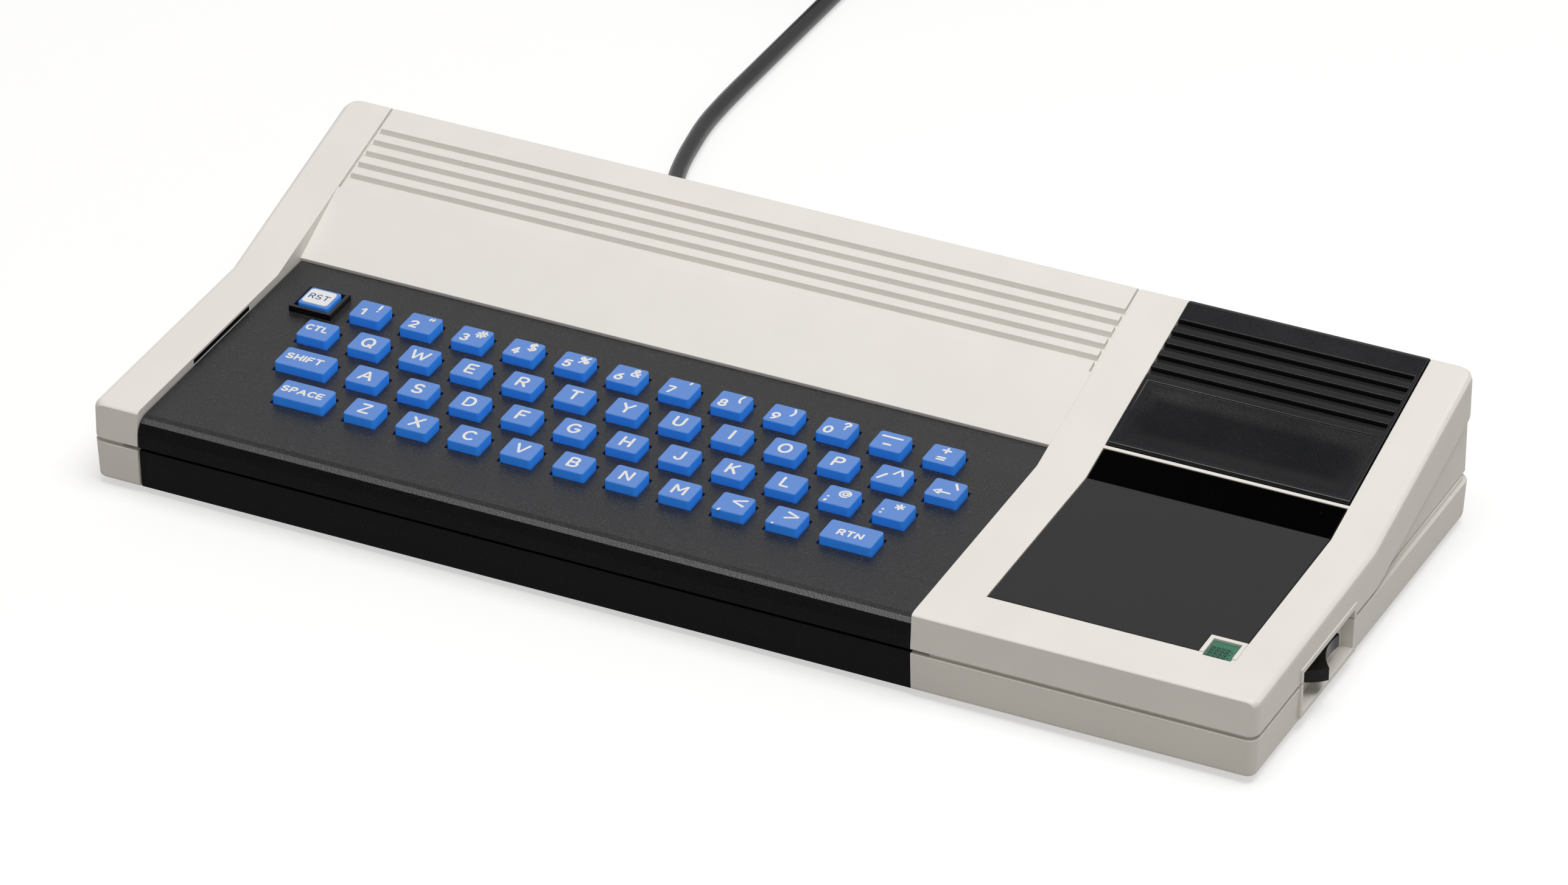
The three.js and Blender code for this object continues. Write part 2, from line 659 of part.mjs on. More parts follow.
// Ledges on the walls beside the deck, on which the deck lies
function deckLedges() {
  const depths = [DECK_LEDGE_INSET, DECK_DEPTH - DECK_LEDGE_INSET];
  const under = (depth) => deckTop(depth) - DECK_THICKNESS - SEAT_GAP;
  const outline = [
    ...depths.map((depth) => [depth, under(depth) - DECK_LEDGE_THICKNESS]),
    ...depths.reverse().map((depth) => [depth, under(depth)]),
  ];
  return [
    alongX(outline, RAIL_INNER - WALL / 2, RAIL_INNER + DECK_LEDGE_WIDTH),
    alongX(outline, DECK_RIGHT - DECK_LEDGE_WIDTH, DECK_RIGHT + WALL / 2),
  ];
}

// The switch pocket's backing and rim in the right wall, the pocket itself, and the rocker's slot in its back
function pocketBacking(fromZ, toZ) {
  return box(
    POCKET_WALL_X - POCKET_BACKING,
    HALF_WIDTH + POCKET_RIM_RISE,
    POCKET_FRONT_DEPTH - POCKET_SURROUND,
    POCKET_FRONT_DEPTH + POCKET_LENGTH + POCKET_SURROUND,
    fromZ,
    toZ,
  );
}

function switchPocket() {
  const halfSlot = ROCKER_RADIUS + SEAT_GAP;
  return [
    box(
      POCKET_WALL_X,
      HALF_WIDTH + CUT_OVERRUN,
      POCKET_FRONT_DEPTH,
      POCKET_FRONT_DEPTH + POCKET_LENGTH,
      POCKET_BASE,
      POCKET_BASE + POCKET_HEIGHT,
    ),
    box(
      POCKET_WALL_X - CUT_OVERRUN,
      POCKET_WALL_X + CUT_OVERRUN,
      ROCKER_PIVOT_DEPTH - halfSlot,
      ROCKER_PIVOT_DEPTH + halfSlot,
      ROCKER_BASE - SEAT_GAP,
      ROCKER_BASE + ROCKER_HEIGHT + SEAT_GAP,
    ),
  ];
}

// Round holes in the rear wall for the sockets
function socketX(i) {
  return FIRST_SOCKET_X + i * SOCKET_PITCH;
}

function socketHoles() {
  return Array.from({ length: SOCKET_COUNT }, (_, i) =>
    rodAlongY(
      socketX(i),
      SOCKET_HEIGHT,
      SOCKET_RADIUS + SEAT_GAP,
      SOCKET_RADIUS + SEAT_GAP,
      CASE_DEPTH - WALL - CUT_OVERRUN,
      CASE_DEPTH + CUT_OVERRUN,
    ),
  );
}

function topCase() {
  const shell = cut(upperHull(), [...sideRecesses(), ...deckOpening(), ...upperHollows(), ...frameCuts()]);
  const backingTop = POCKET_BASE + POCKET_HEIGHT + POCKET_SURROUND;
  const fitted = joined([shell, windowBezel(), ...deckLedges(), pocketBacking(UPPER_BASE, backingTop)]);
  return cut(fitted, [
    ...panelGrooves(),
    windowPocket(),
    ...overlaySlots(),
    ...switchPocket(),
    ...socketHoles(),
  ]);
}

// Lower half of the case, before it is hollowed: it draws in towards its underside on all four sides
function lowerHull() {
  const ring = (inset, z) => casePlan(inset).map(([x, y]) => [x, y, z]);
  const turns = Array.from({ length: EDGE_STEPS + 1 }, (_, k) => ((Math.PI / 2) * k) / EDGE_STEPS);
  const edge = turns.map((angle) =>
    ring(LOWER_TAPER + LOWER_EDGE_RADIUS * (1 - Math.sin(angle)), LOWER_EDGE_RADIUS * (1 - Math.cos(angle))),
  );
  return solidOf(loft([...edge, ring(0, LOWER_TOP)]));
}

// Rim that stands up inside the parting groove and meets the upper half
function partingRim() {
  const top = UPPER_BASE - SEAT_GAP;
  const outer = alongZ(casePlan(PARTING_DEPTH), WALL, top);
  const inner = box(
    SIDE_WALL - HALF_WIDTH,
    HALF_WIDTH - SIDE_WALL,
    FRONT_WALL,
    CASE_DEPTH - WALL,
    0,
    top + CUT_OVERRUN,
  );
  const underTrim = box(
    RAIL_INNER - CUT_OVERRUN,
    DECK_RIGHT + CUT_OVERRUN,
    0,
    FRONT_WALL,
    LOWER_TOP,
    top + CUT_OVERRUN,
  );
  return cut(outer, [inner, underTrim]);
}

// Places of the feet, and of the posts that carry the main board
function footPlaces() {
  return [FOOT_INSET - HALF_WIDTH, HALF_WIDTH - FOOT_INSET].flatMap((x) =>
    [FOOT_INSET, CASE_DEPTH - FOOT_INSET].map((y) => [x, y]),
  );
}

function postPlaces() {
  return [RAIL_INNER, (RAIL_INNER + DECK_RIGHT) / 2, BAY_LEFT].flatMap((x) =>
    [FOOT_INSET, CASE_DEPTH - FOOT_INSET].map((y) => [x, y]),
  );
}

function bottomCase() {
  const hollow = box(
    SIDE_WALL - HALF_WIDTH,
    HALF_WIDTH - SIDE_WALL,
    FRONT_WALL,
    CASE_DEPTH - WALL,
    WALL,
    LOWER_TOP + CUT_OVERRUN,
  );
  const trimPlace = box(
    RAIL_INNER,
    DECK_RIGHT,
    -CUT_OVERRUN,
    TRIM_SETBACK + TRIM_THICKNESS + SEAT_GAP,
    -CUT_OVERRUN,
    LOWER_TOP + CUT_OVERRUN,
  );
  const cordHole = rodAlongY(
    CORD_EXIT_X,
    CORD_EXIT_HEIGHT,
    RELIEF_NECK_RADIUS + SEAT_GAP,
    RELIEF_NECK_RADIUS + SEAT_GAP,
    CASE_DEPTH - WALL - CUT_OVERRUN,
    CASE_DEPTH + CUT_OVERRUN,
  );
  const tray = cut(joined([lowerHull(), partingRim()]), [hollow, trimPlace]);
  const feet = footPlaces().map(([x, y]) => rod(x, y, FOOT_RADIUS, -FOOT_HEIGHT, WALL / 2));
  const postTop = BOARD_UNDERSIDE - SEAT_GAP;
  const posts = postPlaces().map(([x, y]) => rod(x, y, BOARD_POST_RADIUS, WALL / 2, postTop));
  const backing = pocketBacking(POCKET_BASE - POCKET_SURROUND, UPPER_BASE - SEAT_GAP);
  const fitted = joined([tray, ...feet, ...posts, backing]);
  return cut(fitted, [...switchPocket(), cordHole]);
}

// Every key: its name, its width, and where its middle lies
function keys() {
  return ROWS.flatMap((names, row) =>
    names.map((name, column) => {
      const side = WIDE_SIDE[name] ?? 0;
      const width = side ? WIDE_KEY_WIDTH : KEY_WIDTH;
      const shift = (side * (WIDE_KEY_WIDTH - KEY_WIDTH)) / 2;
      return {
        name: "key_" + name,
        width,
        x: FIRST_KEY_X + column * KEY_PITCH + row * ROW_STAGGER + shift,
        depth: FIRST_ROW_DEPTH - row * ROW_PITCH,
      };
    }),
  );
}

// The frame of the deck's top at a key: its Z is square to the deck
function deckFrame(x, depth) {
  return new THREE.Matrix4().makeRotationX(DECK_TILT).setPosition(x, depth, deckTop(depth));
}

function onDeck(geometry, x, depth) {
  geometry.applyMatrix4(deckFrame(x, depth));
  return solidOf(geometry);
}

function deckBox(x, depth, width, length, fromZ, toZ) {
  const geometry = new THREE.BoxGeometry(width, length, toZ - fromZ);
  geometry.translate(0, 0, (fromZ + toZ) / 2);
  return onDeck(geometry, x, depth);
}

// A key: a cap that stands through the deck on a wider flange that stays under it
function key({ width }) {
  const ring = (grow, corner, z) =>
    cornered(width + 2 * grow, KEY_LENGTH + 2 * grow, corner).map(([x, y]) => [x, y, z]);
  const geometry = loft([
    ring(KEY_FLANGE, KEY_CORNER, KEY_FLANGE_BASE),
    ring(KEY_FLANGE, KEY_CORNER, KEY_FLANGE_TOP),
    ring(0, KEY_CORNER, KEY_FLANGE_TOP),
    ring(0, KEY_CORNER, KEY_RISE - KEY_TOP_ROUNDING),
    ring(-KEY_TOP_ROUNDING, KEY_CORNER, KEY_RISE),
  ]);
  return solidOf(geometry);
}

// Deck: a sheet with a rounded front, a hole for each key, a guard about the reset key, and the contact
// plate that stops the keys, hung from posts along its edges
function keyboardDeck() {
  const rear = DECK_DEPTH - SEAT_GAP;
  const left = RAIL_INNER + DECK_GAP;
  const right = DECK_RIGHT - DECK_GAP;
  const outer = filleted(
    [
      [0, UPPER_BASE],
      [rear, UPPER_BASE],
      [rear, deckTop(rear)],
      [0, deckTop(0)],
    ],
    [0, 0, 0, DECK_EDGE_RADIUS],
  );
  const inner = filleted(
    [
      [DECK_THICKNESS, UPPER_BASE - CUT_OVERRUN],
      [rear + CUT_OVERRUN, UPPER_BASE - CUT_OVERRUN],
      [rear + CUT_OVERRUN, deckTop(rear + CUT_OVERRUN) - DECK_THICKNESS],
      [DECK_THICKNESS, deckTop(DECK_THICKNESS) - DECK_THICKNESS],
    ],
    [0, 0, 0, DECK_EDGE_RADIUS - DECK_THICKNESS],
  );
  const all = keys();
  const holes = all.map(({ x, depth, width }) =>
    deckBox(
      x,
      depth,
      width + 2 * KEY_SIDE_GAP,
      KEY_LENGTH + 2 * KEY_END_GAP,
      -DECK_THICKNESS - CUT_OVERRUN / 2,
      GUARD_HEIGHT + CUT_OVERRUN,
    ),
  );
  const sheet = alongX(outer, left, right).subtract(alongX(inner, left - CUT_OVERRUN, right + CUT_OVERRUN));
  const reset = all[0];
  const guardGrow = 2 * (GUARD_CLEARANCE + GUARD_THICKNESS);
  const guard = deckBox(
    reset.x,
    reset.depth,
    KEY_WIDTH + guardGrow,
    KEY_LENGTH + guardGrow,
    -DECK_THICKNESS / 2,
    GUARD_HEIGHT,
  );
  const guardInside = deckBox(
    reset.x,
    reset.depth,
    KEY_WIDTH + 2 * GUARD_CLEARANCE,
    KEY_LENGTH + 2 * GUARD_CLEARANCE,
    0,
    GUARD_HEIGHT + CUT_OVERRUN,
  );
  return joined([cut(joined([sheet, guard]), [guardInside, ...holes]), ...contactPlate(left, right)]);
}

function contactPlate(left, right) {
  const margin = KEY_LENGTH / 2 + KEY_FLANGE + CONTACT_PLATE_MARGIN;
  const front = FIRST_ROW_DEPTH - (ROWS.length - 1) * ROW_PITCH - margin;
  const back = FIRST_ROW_DEPTH + margin;
  const inset = DECK_LEDGE_WIDTH + SEAT_GAP;
  const middle = (left + right) / 2;
  const centre = (front + back) / 2;
  const width = right - left - 2 * inset;
  const base = CONTACT_PLATE_TOP - CONTACT_PLATE_THICKNESS;
  const plate = deckBox(middle, centre, width, back - front, base, CONTACT_PLATE_TOP);
  const posts = [-1, 0, 1].flatMap((side) =>
    [front + CONTACT_POST_WIDTH / 2, back - CONTACT_POST_WIDTH / 2].map((depth) =>
      deckBox(
        middle + (side * (width - CONTACT_POST_WIDTH)) / 2,
        depth,
        CONTACT_POST_WIDTH,
        CONTACT_POST_WIDTH,
        CONTACT_PLATE_TOP - CONTACT_PLATE_THICKNESS / 2,
        -DECK_THICKNESS / 2,
      ),
    ),
  );
  return [plate, ...posts];
}

// Black band of the lower half's front, under the deck
function frontTrim() {
  const front = TRIM_SETBACK;
  const rear = TRIM_SETBACK + TRIM_THICKNESS;
  const outline = filleted(
    [
      [front, LOWER_TOP],
      [front + LOWER_TAPER, 0],
      [rear, 0],
      [rear, LOWER_TOP],
    ],
    [0, LOWER_TAPER / 2, 0, 0],
  );
  return alongX(outline, RAIL_INNER + SEAT_GAP, DECK_RIGHT - SEAT_GAP);
}

// Glossy panel: one sheet, bent at the fold, with a corner left out for the indicator window
function glossPanel() {
  const outline = underTop(GLOSS_FRONT_DEPTH + SEAT_GAP, GLOSS_REAR_DEPTH - SEAT_GAP, 0, GLOSS_THICKNESS);
  const rear = WINDOW_FRONT_DEPTH + WINDOW_SIZE + WINDOW_BEZEL + SEAT_GAP;
  const corner = box(
    WINDOW_LEFT - WINDOW_BEZEL - SEAT_GAP,
    BAY_RIGHT + CUT_OVERRUN,
    0,
    rear,
    0,
    FOLD_TOP + CUT_OVERRUN,
  );
  return alongX(outline, BAY_LEFT + SEAT_GAP, BAY_RIGHT - SEAT_GAP).subtract(corner);
}

// Cartridge cover: a shell open below and in front, dished for the fingers; the grooves across its rear
// run out through its left edge and stop short of its right one
function cartridgeCover() {
  const left = BAY_LEFT + SLIDE_GAP;
  const right = BAY_RIGHT - SLIDE_GAP;
  const front = BAY_FRONT_DEPTH + SLIDE_GAP;
  const rear = CASE_DEPTH - COVER_REAR_INSET;
  const floor = BAY_FLOOR + SLIDE_GAP;
  const outline = filleted(
    [
      [front, floor],
      [rear, floor],
      [rear, railTop(rear) + COVER_PROUD],
      [front, railTop(front) + COVER_PROUD],
    ],
    [0, 0, EDGE_RADIUS, COVER_PROUD],
  );
  const inside = [
    [front - CUT_OVERRUN, floor - CUT_OVERRUN],
    [rear - COVER_SKIRT, floor - CUT_OVERRUN],
    [rear - COVER_SKIRT, railTop(rear - COVER_SKIRT) + COVER_PROUD - COVER_SKIN],
    [front - CUT_OVERRUN, railTop(front - CUT_OVERRUN) + COVER_PROUD - COVER_SKIN],
  ];
  const grooves = Array.from({ length: GROOVE_COUNT }, (_, i) => {
    const back = COVER_GROOVE_REAR_DEPTH - i * COVER_GROOVE_PITCH;
    const lip = back - COVER_GROOVE_WIDTH;
    const ridge = back - COVER_GROOVE_PITCH;
    const outline = [
      [ridge, railTop(ridge) + COVER_PROUD],
      [lip, railTop(lip) + COVER_PROUD - COVER_RIDGE_DROP],
      [lip, railTop(lip) + COVER_PROUD - COVER_GROOVE_SINK],
      [back, railTop(back) + COVER_PROUD - COVER_GROOVE_SINK],
      [back, railTop(back) + CUT_OVERRUN],
      [ridge, railTop(ridge) + CUT_OVERRUN],
    ];
    return alongX(outline, left - CUT_OVERRUN, right - COVER_GROOVE_BORDER);
  });
  const padSink = COVER_PAD_SINK - COVER_PROUD;
  const pad = underTop(front + COVER_PAD_MARGIN, COVER_PAD_REAR_DEPTH, CUT_OVERRUN, padSink);
  return cut(alongX(outline, left, right), [
    alongX(inside, left + COVER_SKIRT, right - COVER_SKIRT),
    ...grooves,
    alongX(pad, left + COVER_PAD_MARGIN, right - COVER_PAD_MARGIN),
  ]);
}

// Rocker, about its own pivot: round ends that close its slot, and a dished face between its two lobes
function rocker() {
  const tip = THREE.MathUtils.degToRad(ROCKER_TIP_DEGREES);
  const at = (angle) => [ROCKER_RADIUS * Math.cos(angle), ROCKER_RADIUS * Math.sin(angle)];
  const ends = [-1, 1].map((side) =>
    Array.from({ length: ARC_STEPS + 1 }, (_, k) =>
      at(side * (tip + ((Math.PI / 2 - tip) * k) / ARC_STEPS)),
    ),
  );
  const [tipX, tipY] = at(tip);
  const dish = Array.from({ length: 2 * ARC_STEPS - 1 }, (_, k) => {
    const share = (k + 1) / ARC_STEPS - 1;
    return [tipX - ROCKER_DISH * (1 - share * share), tipY * share];
  });
  return alongZ([...ends[0].reverse(), ...dish, ...ends[1]], ROCKER_BASE, ROCKER_BASE + ROCKER_HEIGHT);
}

// Main board: chips, shielded modulator, sockets, cartridge connector and the switch's bracket, on one sheet
function mainBoard() {
  const left = SIDE_WALL + BOARD_MARGIN - HALF_WIDTH;
  const right = POCKET_WALL_X - POCKET_BACKING - BOARD_MARGIN;
  const front = FRONT_WALL + SEAT_GAP;
  const rear = CASE_DEPTH - WALL - BOARD_MARGIN;
  const embed = BOARD_THICKNESS / 2;
  const block = ([x, y, width, length], height) => {
    const fromX = left + x * (right - left);
    const fromY = front + y * (rear - front);
    return box(
      fromX,
      fromX + width * (right - left),
      fromY,
      fromY + length * (rear - front),
      BOARD_TOP - embed,
      BOARD_TOP + height,
    );
  };
  const sockets = Array.from({ length: SOCKET_COUNT }, (_, i) => {
    const face = CASE_DEPTH - WALL / 2;
    const back = face - SOCKET_LENGTH;
    const half = SOCKET_FOOT_WIDTH / 2;
    return joined([
      rodAlongY(socketX(i), SOCKET_HEIGHT, SOCKET_RADIUS, SOCKET_RADIUS, back, face),
      box(socketX(i) - half, socketX(i) + half, back + embed, rear - embed, BOARD_TOP - embed, SOCKET_HEIGHT),
    ]);
  });
  const halfConnector = CONNECTOR_WIDTH / 2 - SEAT_GAP;
  const connectorRear = BAY_FRONT_DEPTH - WALL - SEAT_GAP;
  const connector = box(
    BAY_MIDDLE - halfConnector,
    BAY_MIDDLE + halfConnector,
    connectorRear - CONNECTOR_DEPTH,
    connectorRear,
    BOARD_TOP - embed,
    CONNECTOR_TOP,
  );
  return joined([
    box(left, right, front, rear, BOARD_UNDERSIDE, BOARD_TOP),
    ...CHIP_SHARES.map((place) => block(place, CHIP_HEIGHT)),
    block(SHIELD_SHARE, SHIELD_HEIGHT),
    ...sockets,
    connector,
    ...switchBracket(),
  ]);
}

// Bracket of the switch: a block behind the rocker, with an ear above and one below its pivot
function switchBracket() {
  const nearX = ROCKER_PIVOT_X - ROCKER_BRACKET_BACK;
  const farX = nearX - ROCKER_BRACKET_BLOCK;
  const earX = ROCKER_PIVOT_X + ROCKER_BRACKET_REACH;
  const fromY = ROCKER_PIVOT_DEPTH - ROCKER_BRACKET_HALF_LENGTH;
  const toY = ROCKER_PIVOT_DEPTH + ROCKER_BRACKET_HALF_LENGTH;
  const under = ROCKER_BASE - SEAT_GAP;
  const over = ROCKER_BASE + ROCKER_HEIGHT + SEAT_GAP;
  const base = BOARD_TOP - BOARD_THICKNESS / 2;
  const outline = [
    [farX, base],
    [earX, base],
    [earX, under],
    [nearX, under],
    [nearX, over],
    [earX, over],
    [earX, over + ROCKER_BRACKET_THICKNESS],
    [farX, over + ROCKER_BRACKET_THICKNESS],
  ];
  return [alongY(outline, fromY, toY)];
}

// The lead's first stretch with the strain relief that is moulded on it
function cordRun() {
  const path = new THREE.CatmullRomCurve3(CORD_ROUTE.map(([x, depth, z]) => new THREE.Vector3(x, depth, z)));
  const section = Array.from({ length: CORD_SIDES }, (_, k) => {
    const angle = ((k + 1 / 2) / CORD_SIDES) * 2 * Math.PI;
    return [(CORD_DIAMETER / 2) * Math.cos(angle), (CORD_DIAMETER / 2) * Math.sin(angle)];
  });
  const tube = new THREE.ExtrudeGeometry(shapeOf(section), { steps: CORD_STEPS, extrudePath: path });
  const z = CORD_EXIT_HEIGHT + FOOT_HEIGHT;
  const outside = CASE_DEPTH + SEAT_GAP;
  const inside = CASE_DEPTH - WALL - SEAT_GAP;
  const flange = inside - RELIEF_FLANGE_THICKNESS;
  const x = CORD_EXIT_X;
  console.log("lead from the rear wall to the coil: " + path.getLength().toFixed(1) + " mm");
  return joined([
    solidOf(tube),
    rodAlongY(x, z, RELIEF_ROOT_RADIUS, RELIEF_TIP_RADIUS, outside, CASE_DEPTH + RELIEF_LENGTH),
    rodAlongY(x, z, RELIEF_NECK_RADIUS, RELIEF_NECK_RADIUS, flange, outside + SEAT_GAP),
    rodAlongY(x, z, RELIEF_FLANGE_RADIUS, RELIEF_FLANGE_RADIUS, flange, inside),
  ]);
}

// Centreline of the coil: it spirals in and out again, and climbs a layer in the half turn where it reverses
function coilPoint(turn) {
  const perLayer = COIL_TURNS / COIL_LAYERS;
  const outer = (COIL_MID_DIAMETER + perLayer * COIL_PITCH) / 2;
  const phase = (turn / perLayer) % 2;
  const inwards = phase < 1 ? phase : 2 - phase;
  const radius = outer - inwards * perLayer * COIL_PITCH;
  const climbed = Array.from({ length: COIL_LAYERS - 1 }, (_, i) =>
    THREE.MathUtils.clamp((turn - (i + 1) * perLayer) * 2 + 1 / 2, 0, 1),
  ).reduce((sum, share) => sum + share, 0);
  const angle = 2 * Math.PI * turn;
  const [entryX, entryDepth] = CORD_ROUTE.at(-1);
  return new THREE.Vector3(
    entryX - outer + radius * Math.cos(angle),
    entryDepth + SEAT_GAP + CORD_DIAMETER + radius * Math.sin(angle),
    CORD_DIAMETER / 2 + FLOOR_LIFT + climbed * COIL_PITCH,
  );
}

function coilLine() {
  const count = COIL_TURNS * COIL_STEPS_PER_TURN;
  const turns = Array.from({ length: count + 1 }, (_, i) => coilPoint(i / COIL_STEPS_PER_TURN));
  const tail = new THREE.Vector3(0, CORD_DIAMETER, 0);
  return [turns[0].clone().sub(tail), ...turns, turns.at(-1).clone().add(tail)];
}

// Least gap between stretches of the coil that lie more than half a turn apart along it
function leastGap(line) {
  const apart = COIL_STEPS_PER_TURN / 2;
  let least = Infinity;
  line.forEach((point, i) => {
    for (let k = i + apart; k < line.length; k++) {
      least = Math.min(least, point.distanceTo(line[k]) - CORD_DIAMETER);
    }
  });
  return least;
}

function cordCoil() {
  const line = coilLine();
  const up = new THREE.Vector3(0, 0, 1);
  const rings = line.map((point, i) => {
    const before = line[Math.max(i - 1, 0)];
    const after = line[Math.min(i + 1, line.length - 1)];
    const atEnd = i === 0 || i === line.length - 1;
    const along = atEnd ? new THREE.Vector3(0, 1, 0) : after.clone().sub(before).setZ(0).normalize();
    const across = along.clone().cross(up);
    return Array.from({ length: COIL_SIDES }, (_, k) => {
      const angle = (-2 * Math.PI * k) / COIL_SIDES;
      const side = across.clone().multiplyScalar((CORD_DIAMETER / 2) * Math.cos(angle));
      return point.clone().add(side).addScaledVector(up, (CORD_DIAMETER / 2) * Math.sin(angle)).toArray();
    });
  });
  const curve = new THREE.CatmullRomCurve3(line);
  console.log("coil length: " + curve.getLength().toFixed(1) + " mm");
  console.log("least gap of the coil to itself: " + leastGap(line).toFixed(3) + " mm");
  return solidOf(loft(rings));
}

// Plug-in transformer: it lies on one side beside the coil, and the lead enters its end
function powerAdapter() {
  const end = coilLine().at(-1);
  const near = end.y + SEAT_GAP;
  const front = near + PLUG_RELIEF_LENGTH;
  const inset = 2 * PLUG_ROUNDING;
  const body = new THREE.ExtrudeGeometry(
    shapeOf(cornered(PLUG_WIDTH, PLUG_LENGTH, PLUG_ROUNDING)),
    {
      depth: PLUG_HEIGHT - inset,
      bevelThickness: PLUG_ROUNDING,
      bevelSize: PLUG_ROUNDING,
      bevelOffset: -PLUG_ROUNDING,
      bevelSegments: 1,
    },
  );
  body.translate(end.x, front + PLUG_LENGTH / 2, PLUG_ROUNDING);
  const bladeRoot = end.x + PLUG_WIDTH / 2 - PLUG_ROUNDING;
  const blades = [-1, 1].map((side) => {
    const y = front + PLUG_LENGTH / 2 + (side * BLADE_PITCH) / 2;
    return box(
      bladeRoot,
      bladeRoot + PLUG_ROUNDING + BLADE_REACH,
      y - BLADE_THICKNESS / 2,
      y + BLADE_THICKNESS / 2,
      (PLUG_HEIGHT - BLADE_WIDTH) / 2,
      (PLUG_HEIGHT + BLADE_WIDTH) / 2,
    );
  });
  const relief = rodAlongY(
    end.x,
    end.z,
    PLUG_RELIEF_TIP_RADIUS,
    PLUG_RELIEF_ROOT_RADIUS,
    near,
    front + PLUG_ROUNDING,
  );
  return joined([solidOf(body), ...blades, relief]);
}

// Finishes
function plastic(color, roughness) {
  return new THREE.MeshStandardMaterial({ color, roughness, metalness: 0 });
}

const WHITE_CASE = plastic(0xdedbd3, 0.55);
const BLACK_GRAINED = plastic(0x2b2b2e, 0.6);
const BLACK_GLOSS = plastic(0x0c0c0d, 0.12);
const BLUE_RUBBER = plastic(0x4a7ad0, 0.6);
const PALE_RESET = plastic(0xe6e6e4, 0.5);
const BLACK_LEAD = plastic(0x242426, 0.5);
const GREEN_BOARD = plastic(0x1f5a35, 0.5);

function piece(name, solid, material) {
  const mesh = new THREE.Mesh(geometryOf(solid), material);
  mesh.name = name;
  return mesh;
}

// The case stands on its feet, and the origin is under the middle of case and switch together
function computer() {
  const group = new THREE.Group();
  group.position.set(-SWITCH_PROUD / 2, -CASE_DEPTH / 2, FOOT_HEIGHT);
  group.add(
    piece("top_case", topCase(), WHITE_CASE),
    piece("bottom_case", bottomCase(), WHITE_CASE),
    piece("keyboard_deck", keyboardDeck(), BLACK_GRAINED),
    piece("front_trim", frontTrim(), BLACK_GRAINED),
    piece("gloss_panel", glossPanel(), BLACK_GLOSS),
    piece("cartridge_cover", cartridgeCover(), BLACK_GRAINED),
    piece("main_board", mainBoard(), GREEN_BOARD),
  );
  const powerSwitch = piece("power_switch", rocker(), BLACK_GRAINED);
  powerSwitch.position.set(ROCKER_PIVOT_X, ROCKER_PIVOT_DEPTH, 0);
  powerSwitch.rotation.z = ROCKER_REST;
  group.add(powerSwitch);
  keys().forEach((place) => {
    const cap = piece(place.name, key(place), place.name === "key_reset" ? PALE_RESET : BLUE_RUBBER);
    cap.applyMatrix4(deckFrame(place.x, place.depth));
    group.add(cap);
  });
  return group;
}

function lead() {
  const group = new THREE.Group();
  group.position.set(-SWITCH_PROUD / 2, -CASE_DEPTH / 2, 0);
  group.add(
    piece("cord_run", cordRun(), BLACK_LEAD),
    piece("cord_coil", cordCoil(), BLACK_LEAD),
    piece("power_adapter", powerAdapter(), BLACK_LEAD),
  );
  return group;
}

const part = new THREE.Group();
part.add(computer(), lead());

export default part;
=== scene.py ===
"""Dresses the home computer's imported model: finishes, moulded details, key legends, lead and studio."""

import logging
import math
from collections.abc import Callable
from dataclasses import dataclass
from enum import Enum

import bmesh
import bpy
from mathutils import Matrix, Vector


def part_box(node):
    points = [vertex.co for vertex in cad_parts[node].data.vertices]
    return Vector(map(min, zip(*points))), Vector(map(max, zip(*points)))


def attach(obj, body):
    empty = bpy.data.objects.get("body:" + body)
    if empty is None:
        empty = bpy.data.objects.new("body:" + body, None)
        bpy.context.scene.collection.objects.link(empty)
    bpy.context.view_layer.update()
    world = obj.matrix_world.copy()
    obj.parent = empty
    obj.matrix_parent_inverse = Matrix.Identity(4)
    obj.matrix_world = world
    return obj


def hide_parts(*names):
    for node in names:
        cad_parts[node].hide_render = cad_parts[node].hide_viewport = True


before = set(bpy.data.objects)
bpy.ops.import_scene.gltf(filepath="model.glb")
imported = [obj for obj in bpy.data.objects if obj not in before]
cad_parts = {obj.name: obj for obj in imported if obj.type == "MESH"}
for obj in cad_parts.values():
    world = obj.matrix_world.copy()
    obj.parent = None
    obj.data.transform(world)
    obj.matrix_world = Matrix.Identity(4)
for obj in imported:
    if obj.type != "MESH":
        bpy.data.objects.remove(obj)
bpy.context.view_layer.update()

MM = 0.001
LOG = logging.getLogger("home_computer")
Colour = tuple[float, float, float]
Place = tuple[float, float, float]
Pieces = list[bpy.types.Object]


class Body(Enum):
    """The moving bodies that pieces ride on, apart from the keys' own."""

    COMPUTER = "computer"
    COVER = "cartridge_cover"
    SWITCH = "power_switch"


class Slot(Enum):
    """The record's material slots."""

    CASE = "case_plastic"
    DECK = "deck_plastic"
    COVER = "cover_plastic"
    GLOSS = "gloss_black"
    SWITCH = "switch_plastic"
    KEY = "key_rubber"
    RESET = "reset_cap"
    BOARD = "circuit_board"
    LEAD = "lead_sheath"
    ADAPTER = "adapter_plastic"


